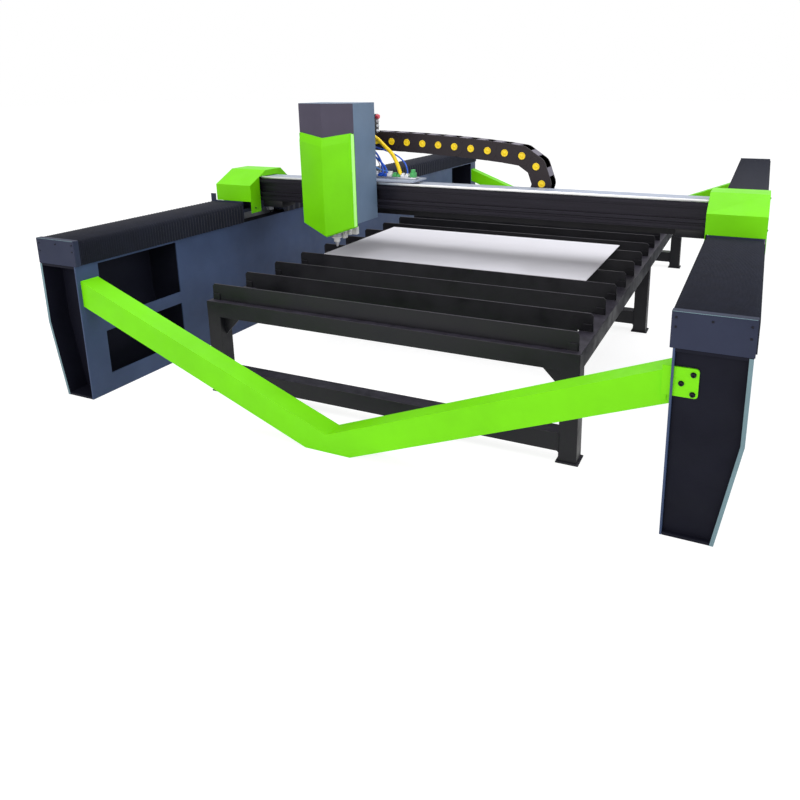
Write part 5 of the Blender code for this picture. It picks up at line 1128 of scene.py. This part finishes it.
HOSES = (
    ("gas_hose", 0.0115, "yellow polyurethane hose", "stiff",
     ((-0.6495, -1.130, 1.2700), (-0.600, -1.132, 1.2730), (-0.541, -1.140, 1.2480), (-0.488, -1.148, 1.2070),
      (-0.432, -1.157, 1.1610), (-0.390, -1.168, 1.0990), (-0.362, -1.1808, 1.0383))),
    ("air_tube_front", 0.0060, "blue nylon tube", "medium",
     ((-0.6495, -1.150, 1.2030), (-0.600, -1.154, 1.1980), (-0.545, -1.160, 1.1680), (-0.505, -1.168, 1.1180),
      (-0.488, -1.176, 1.0730), (-0.484, -1.1808, 1.0383))),
    ("air_tube_rear", 0.0045, "blue nylon tube", "medium",
     ((-0.6495, -1.112, 1.2000), (-0.590, -1.114, 1.1970), (-0.500, -1.124, 1.1780), (-0.410, -1.138, 1.1500),
      (-0.348, -1.156, 1.1110), (-0.322, -1.172, 1.0700), (-0.316, -1.1808, 1.0383))),
    ("air_tube_middle", 0.0060, "blue nylon tube", "medium",
     ((-0.6495, -1.155, 1.1860), (-0.610, -1.158, 1.1780), (-0.555, -1.164, 1.1480), (-0.497, -1.170, 1.1050),
      (-0.465, -1.176, 1.0720), (-0.457, -1.1808, 1.0383))),
    ("air_tube_low", 0.0045, "light blue nylon tube", "medium",
     ((-0.6495, -1.160, 1.1960), (-0.615, -1.163, 1.1780), (-0.582, -1.168, 1.1240), (-0.540, -1.173, 1.0810),
      (-0.485, -1.177, 1.0620), (-0.440, -1.180, 1.0540), (-0.420, -1.1808, 1.0383))),
    ("sensor_lead", 0.0030, "white cable sheath", "medium",
     ((-0.6495, -1.140, 1.1880), (-0.600, -1.146, 1.1760), (-0.550, -1.155, 1.1380), (-0.515, -1.165, 1.0930),
      (-0.504, -1.178, 1.0383))),
    ("limit_lead", 0.0030, "grey cable sheath", "medium",
     ((-0.6495, -1.145, 1.1800), (-0.622, -1.150, 1.1600), (-0.598, -1.160, 1.1150), (-0.568, -1.170, 1.0720),
      (-0.530, -1.177, 1.0560), (-0.500, -1.180, 1.0500), (-0.484, -1.1808, 1.0383))),
)


def smooth_points(anchors, steps=8):
    """Even points on a smooth curve through the anchors."""
    anchors = [Vector(anchor) for anchor in anchors]
    points = []
    for index in range(len(anchors) - 1):
        start, end = anchors[index], anchors[index + 1]
        before = anchors[index - 1] if index else start
        after = anchors[index + 2] if index + 2 < len(anchors) else end
        for step in range(steps):
            t = step / steps
            points.append(start * (2 * t ** 3 - 3 * t ** 2 + 1)
                          + (end - before) / 2 * (t ** 3 - 2 * t ** 2 + t)
                          + end * (3 * t ** 2 - 2 * t ** 3) + (after - start) / 2 * (t ** 3 - t ** 2))
    return points + [anchors[-1]]


class RunHoses(bpy.types.Operator):
    """Runs the gas hose, air tubes and leads from the junction block to the terminal bar"""
    bl_idname = "cutter.run_hoses"
    bl_label = "Run hoses"

    def execute(self, context):
        bar = self.add_terminal_bar()
        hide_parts("hose_bundle")
        for name, radius, material, stiffness, anchors in HOSES:
            self.add_hose(name, radius, material, stiffness, anchors)
        return {"FINISHED"}

    def add_terminal_bar(self):
        """Connector strip on the carriage's shelf: a rail with plugs of several colours."""
        left, right = -0.545, -0.250
        front, rear = -1.2058, -1.1558
        base = low("hose_bundle").z
        bar = make_piece("terminal_bar", box_mesh((left, front, base), (right, rear, base + 0.012), 0.001),
                         "zinc plated steel", "carriage")
        plugs = ((-0.538, 0.024, 0.028, "white cable sheath"), (-0.510, 0.030, 0.020, "blue nylon tube"),
                 (-0.474, 0.022, 0.018, "blue nylon tube"), (-0.446, 0.030, 0.030, "white cable sheath"),
                 (-0.410, 0.024, 0.024, "green connector nylon"),
                 (-0.382, 0.022, 0.018, "green connector nylon"),
                 (-0.354, 0.022, 0.022, "white cable sheath"), (-0.326, 0.022, 0.020, "white cable sheath"),
                 (-0.290, 0.026, 0.046, "green connector nylon"))
        foot = base + 0.0122
        for index, (x, width, height, material) in enumerate(plugs, start=1):
            shoulder = foot + height * 0.6
            bm = box_mesh((x, front + 0.004, foot), (x + width, rear - 0.006, shoulder), 0.0015)
            join_into(bm, box_mesh((x + 0.004, front + 0.012, shoulder),
                                   (x + width - 0.004, rear - 0.014, foot + height), 0.001))
            make_piece(f"plug_{index}", bm, material, "carriage")
        return bar

    def add_hose(self, name, radius, material, stiffness, anchors):
        """One hose or lead through its points, held at both ends."""
        points = smooth_points(anchors)
        curve = bpy.data.curves.new(name, "CURVE")
        curve.dimensions = "3D"
        curve.bevel_depth = radius
        curve.bevel_resolution = 4
        curve.use_fill_caps = True
        spline = curve.splines.new("POLY")
        spline.points.add(len(points) - 1)
        for target, point in zip(spline.points, points):
            target.co = (*point, 1.0)
        spline.use_smooth = True
        curve.materials.append(finish(material))
        hose = bpy.data.objects.new(name, curve)
        bpy.context.collection.objects.link(hose)
        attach(hose, "carriage")


class SetStage(bpy.types.Operator):
    """Lays the pale floor and sets the lamps, world and camera"""
    bl_idname = "cutter.set_stage"
    bl_label = "Set stage"

    def execute(self, context):
        studio = context.scene.cutter_studio
        self.lay_floor(studio)
        self.light_world(context.scene, studio)
        self.hang_lamp("overhead lamp", (0.0, -0.5, 6.5), (0, 0, -1), (7.0, 8.0), studio.overhead, "#FFFFFF")
        self.hang_lamp("front lamp", (-0.5, -9.5, 3.6), (0, 1, -0.30), (8.0, 4.0), studio.front, "#FFF8F4")
        self.hang_lamp("right lamp", (8.5, -1.5, 3.4), (-1, 0.05, -0.28), (8.0, 4.0), studio.right, "#EAF3FF")
        self.set_camera(context.scene, studio)
        context.scene.view_settings.view_transform = "Standard"
        return {"FINISHED"}

    def lay_floor(self, studio):
        """Seamless floor: white where the camera sees it plain, and darkened by the machine's shadow."""
        bm = bmesh.new()
        bmesh.ops.create_grid(bm, x_segments=1, y_segments=1, size=60.0)
        mesh = bpy.data.meshes.new("studio_floor")
        bm.to_mesh(mesh)
        bm.free()
        floor = bpy.data.objects.new("studio_floor", mesh)
        floor.location.z = -0.0005
        bpy.context.collection.objects.link(floor)
        material = bpy.data.materials.new("matt studio floor")
        material.use_nodes = True
        tree = material.node_tree
        tree.nodes.clear()
        paint = add_node(tree, "ShaderNodeBsdfDiffuse", {"Color": (*studio.floor, 1.0)})
        glow = add_node(tree, "ShaderNodeEmission", {"Color": (1.0, 1.0, 1.0, 1.0), "Strength": 1.34})
        path = add_node(tree, "ShaderNodeLightPath")
        seen = add_node(tree, "ShaderNodeMath", operation="MAXIMUM")
        tree.links.new(path.outputs["Is Camera Ray"], seen.inputs[0])
        tree.links.new(path.outputs["Is Glossy Ray"], seen.inputs[1])
        share = add_node(tree, "ShaderNodeMath", operation="MULTIPLY")
        tree.links.new(seen.outputs[0], share.inputs[0])
        share.inputs[1].default_value = 0.64
        mixed = add_node(tree, "ShaderNodeMixShader", {"Fac": share.outputs[0]})
        tree.links.new(paint.outputs[0], mixed.inputs[1])
        tree.links.new(glow.outputs[0], mixed.inputs[2])
        output = add_node(tree, "ShaderNodeOutputMaterial")
        tree.links.new(mixed.outputs[0], output.inputs["Surface"])
        mesh.materials.append(material)

    def light_world(self, scene, studio):
        """Even grey light on the object, with white where the camera, gloss and glass look past it."""
        world = bpy.data.worlds.new("studio world")
        world.use_nodes = True
        tree = world.node_tree
        tree.nodes.clear()
        plain = (1.0, 1.0, 1.0, 1.0)
        even = add_node(tree, "ShaderNodeBackground", {"Color": plain, "Strength": studio.ambient})
        white = add_node(tree, "ShaderNodeBackground", {"Color": plain, "Strength": 1.0})
        path = add_node(tree, "ShaderNodeLightPath")
        first = add_node(tree, "ShaderNodeMath", operation="MAXIMUM")
        tree.links.new(path.outputs["Is Camera Ray"], first.inputs[0])
        tree.links.new(path.outputs["Is Glossy Ray"], first.inputs[1])
        second = add_node(tree, "ShaderNodeMath", operation="MAXIMUM")
        tree.links.new(first.outputs[0], second.inputs[0])
        tree.links.new(path.outputs["Is Transmission Ray"], second.inputs[1])
        mixed = add_node(tree, "ShaderNodeMixShader", {"Fac": second.outputs[0]})
        tree.links.new(even.outputs[0], mixed.inputs[1])
        tree.links.new(white.outputs[0], mixed.inputs[2])
        output = add_node(tree, "ShaderNodeOutputWorld")
        tree.links.new(mixed.outputs[0], output.inputs["Surface"])
        scene.world = world

    def hang_lamp(self, name, place, direction, size, power, text):
        """One broad lamp that the camera doesn't see; text is its colour."""
        lamp = bpy.data.lights.new(name, "AREA")
        lamp.shape = "RECTANGLE"
        lamp.size, lamp.size_y = size
        lamp.energy = power
        lamp.color = srgb(text)
        item = bpy.data.objects.new(name, lamp)
        item.location = place
        item.rotation_euler = Vector(direction).to_track_quat("-Z", "Y").to_euler()
        item.visible_camera = False
        bpy.context.collection.objects.link(item)

    def set_camera(self, scene, studio):
        """Camera at the photograph's place, turned by its yaw, pitch and roll."""
        forward = Vector((-math.sin(studio.yaw) * math.cos(studio.pitch),
                          math.cos(studio.yaw) * math.cos(studio.pitch), math.sin(studio.pitch)))
        level = Vector((math.cos(studio.yaw), math.sin(studio.yaw), 0.0))
        upright = level.cross(forward)
        right = math.cos(studio.roll) * level + math.sin(studio.roll) * upright
        up = -math.sin(studio.roll) * level + math.cos(studio.roll) * upright
        turn = Matrix((right, up, -forward)).transposed().to_4x4()
        data = bpy.data.cameras.new("camera")
        data.sensor_width = 36.0
        data.lens = studio.focal
        data.shift_x, data.shift_y = studio.shift_x, studio.shift_y
        data.clip_end = 200.0
        camera = bpy.data.objects.new("camera", data)
        camera.matrix_world = Matrix.Translation(Vector(studio.place)) @ turn
        bpy.context.collection.objects.link(camera)
        scene.camera = camera


class CutterPanel(bpy.types.Panel):
    """Lists the dressing steps in the sidebar"""
    bl_idname = "VIEW3D_PT_cutter"
    bl_label = "Laser cutter"
    bl_space_type = "VIEW_3D"
    bl_region_type = "UI"
    bl_category = "Cutter"

    def draw(self, context):
        for operator in STEPS:
            self.layout.operator(operator.bl_idname)
        scene = context.scene
        for group in (scene.cutter_colours, scene.cutter_details, scene.cutter_studio):
            box = self.layout.box()
            for name in group.__annotations__:
                box.prop(group, name)


STEPS = (PaintRunways, FitEndCaps, FoldBellows, DressBraces, DressTable, DressBeam, DressCovers, DressDrives,
         LinkDragChain, DressHead, RunHoses, SetStage)
CLASSES = (CutterColours, CutterDetails, CutterStudio, *STEPS, CutterPanel)


def register():
    for item in CLASSES:
        bpy.utils.register_class(item)
    bpy.types.Scene.cutter_colours = PointerProperty(type=CutterColours)
    bpy.types.Scene.cutter_details = PointerProperty(type=CutterDetails)
    bpy.types.Scene.cutter_studio = PointerProperty(type=CutterStudio)


def unregister():
    del bpy.types.Scene.cutter_studio
    del bpy.types.Scene.cutter_details
    del bpy.types.Scene.cutter_colours
    for item in reversed(CLASSES):
        bpy.utils.unregister_class(item)


def main():
    register()
    bpy.ops.cutter.set_stage()
    bpy.ops.cutter.run_hoses()
    bpy.ops.cutter.paint_runways()
    bpy.ops.cutter.fit_end_caps()
    bpy.ops.cutter.fold_bellows()
    bpy.ops.cutter.dress_braces()
    bpy.ops.cutter.dress_table()
    bpy.ops.cutter.dress_beam()
    bpy.ops.cutter.dress_covers()
    bpy.ops.cutter.dress_drives()
    bpy.ops.cutter.link_drag_chain()
    bpy.ops.cutter.dress_head()
    bpy.context.view_layer.update()


if __name__ == "__main__":
    main()
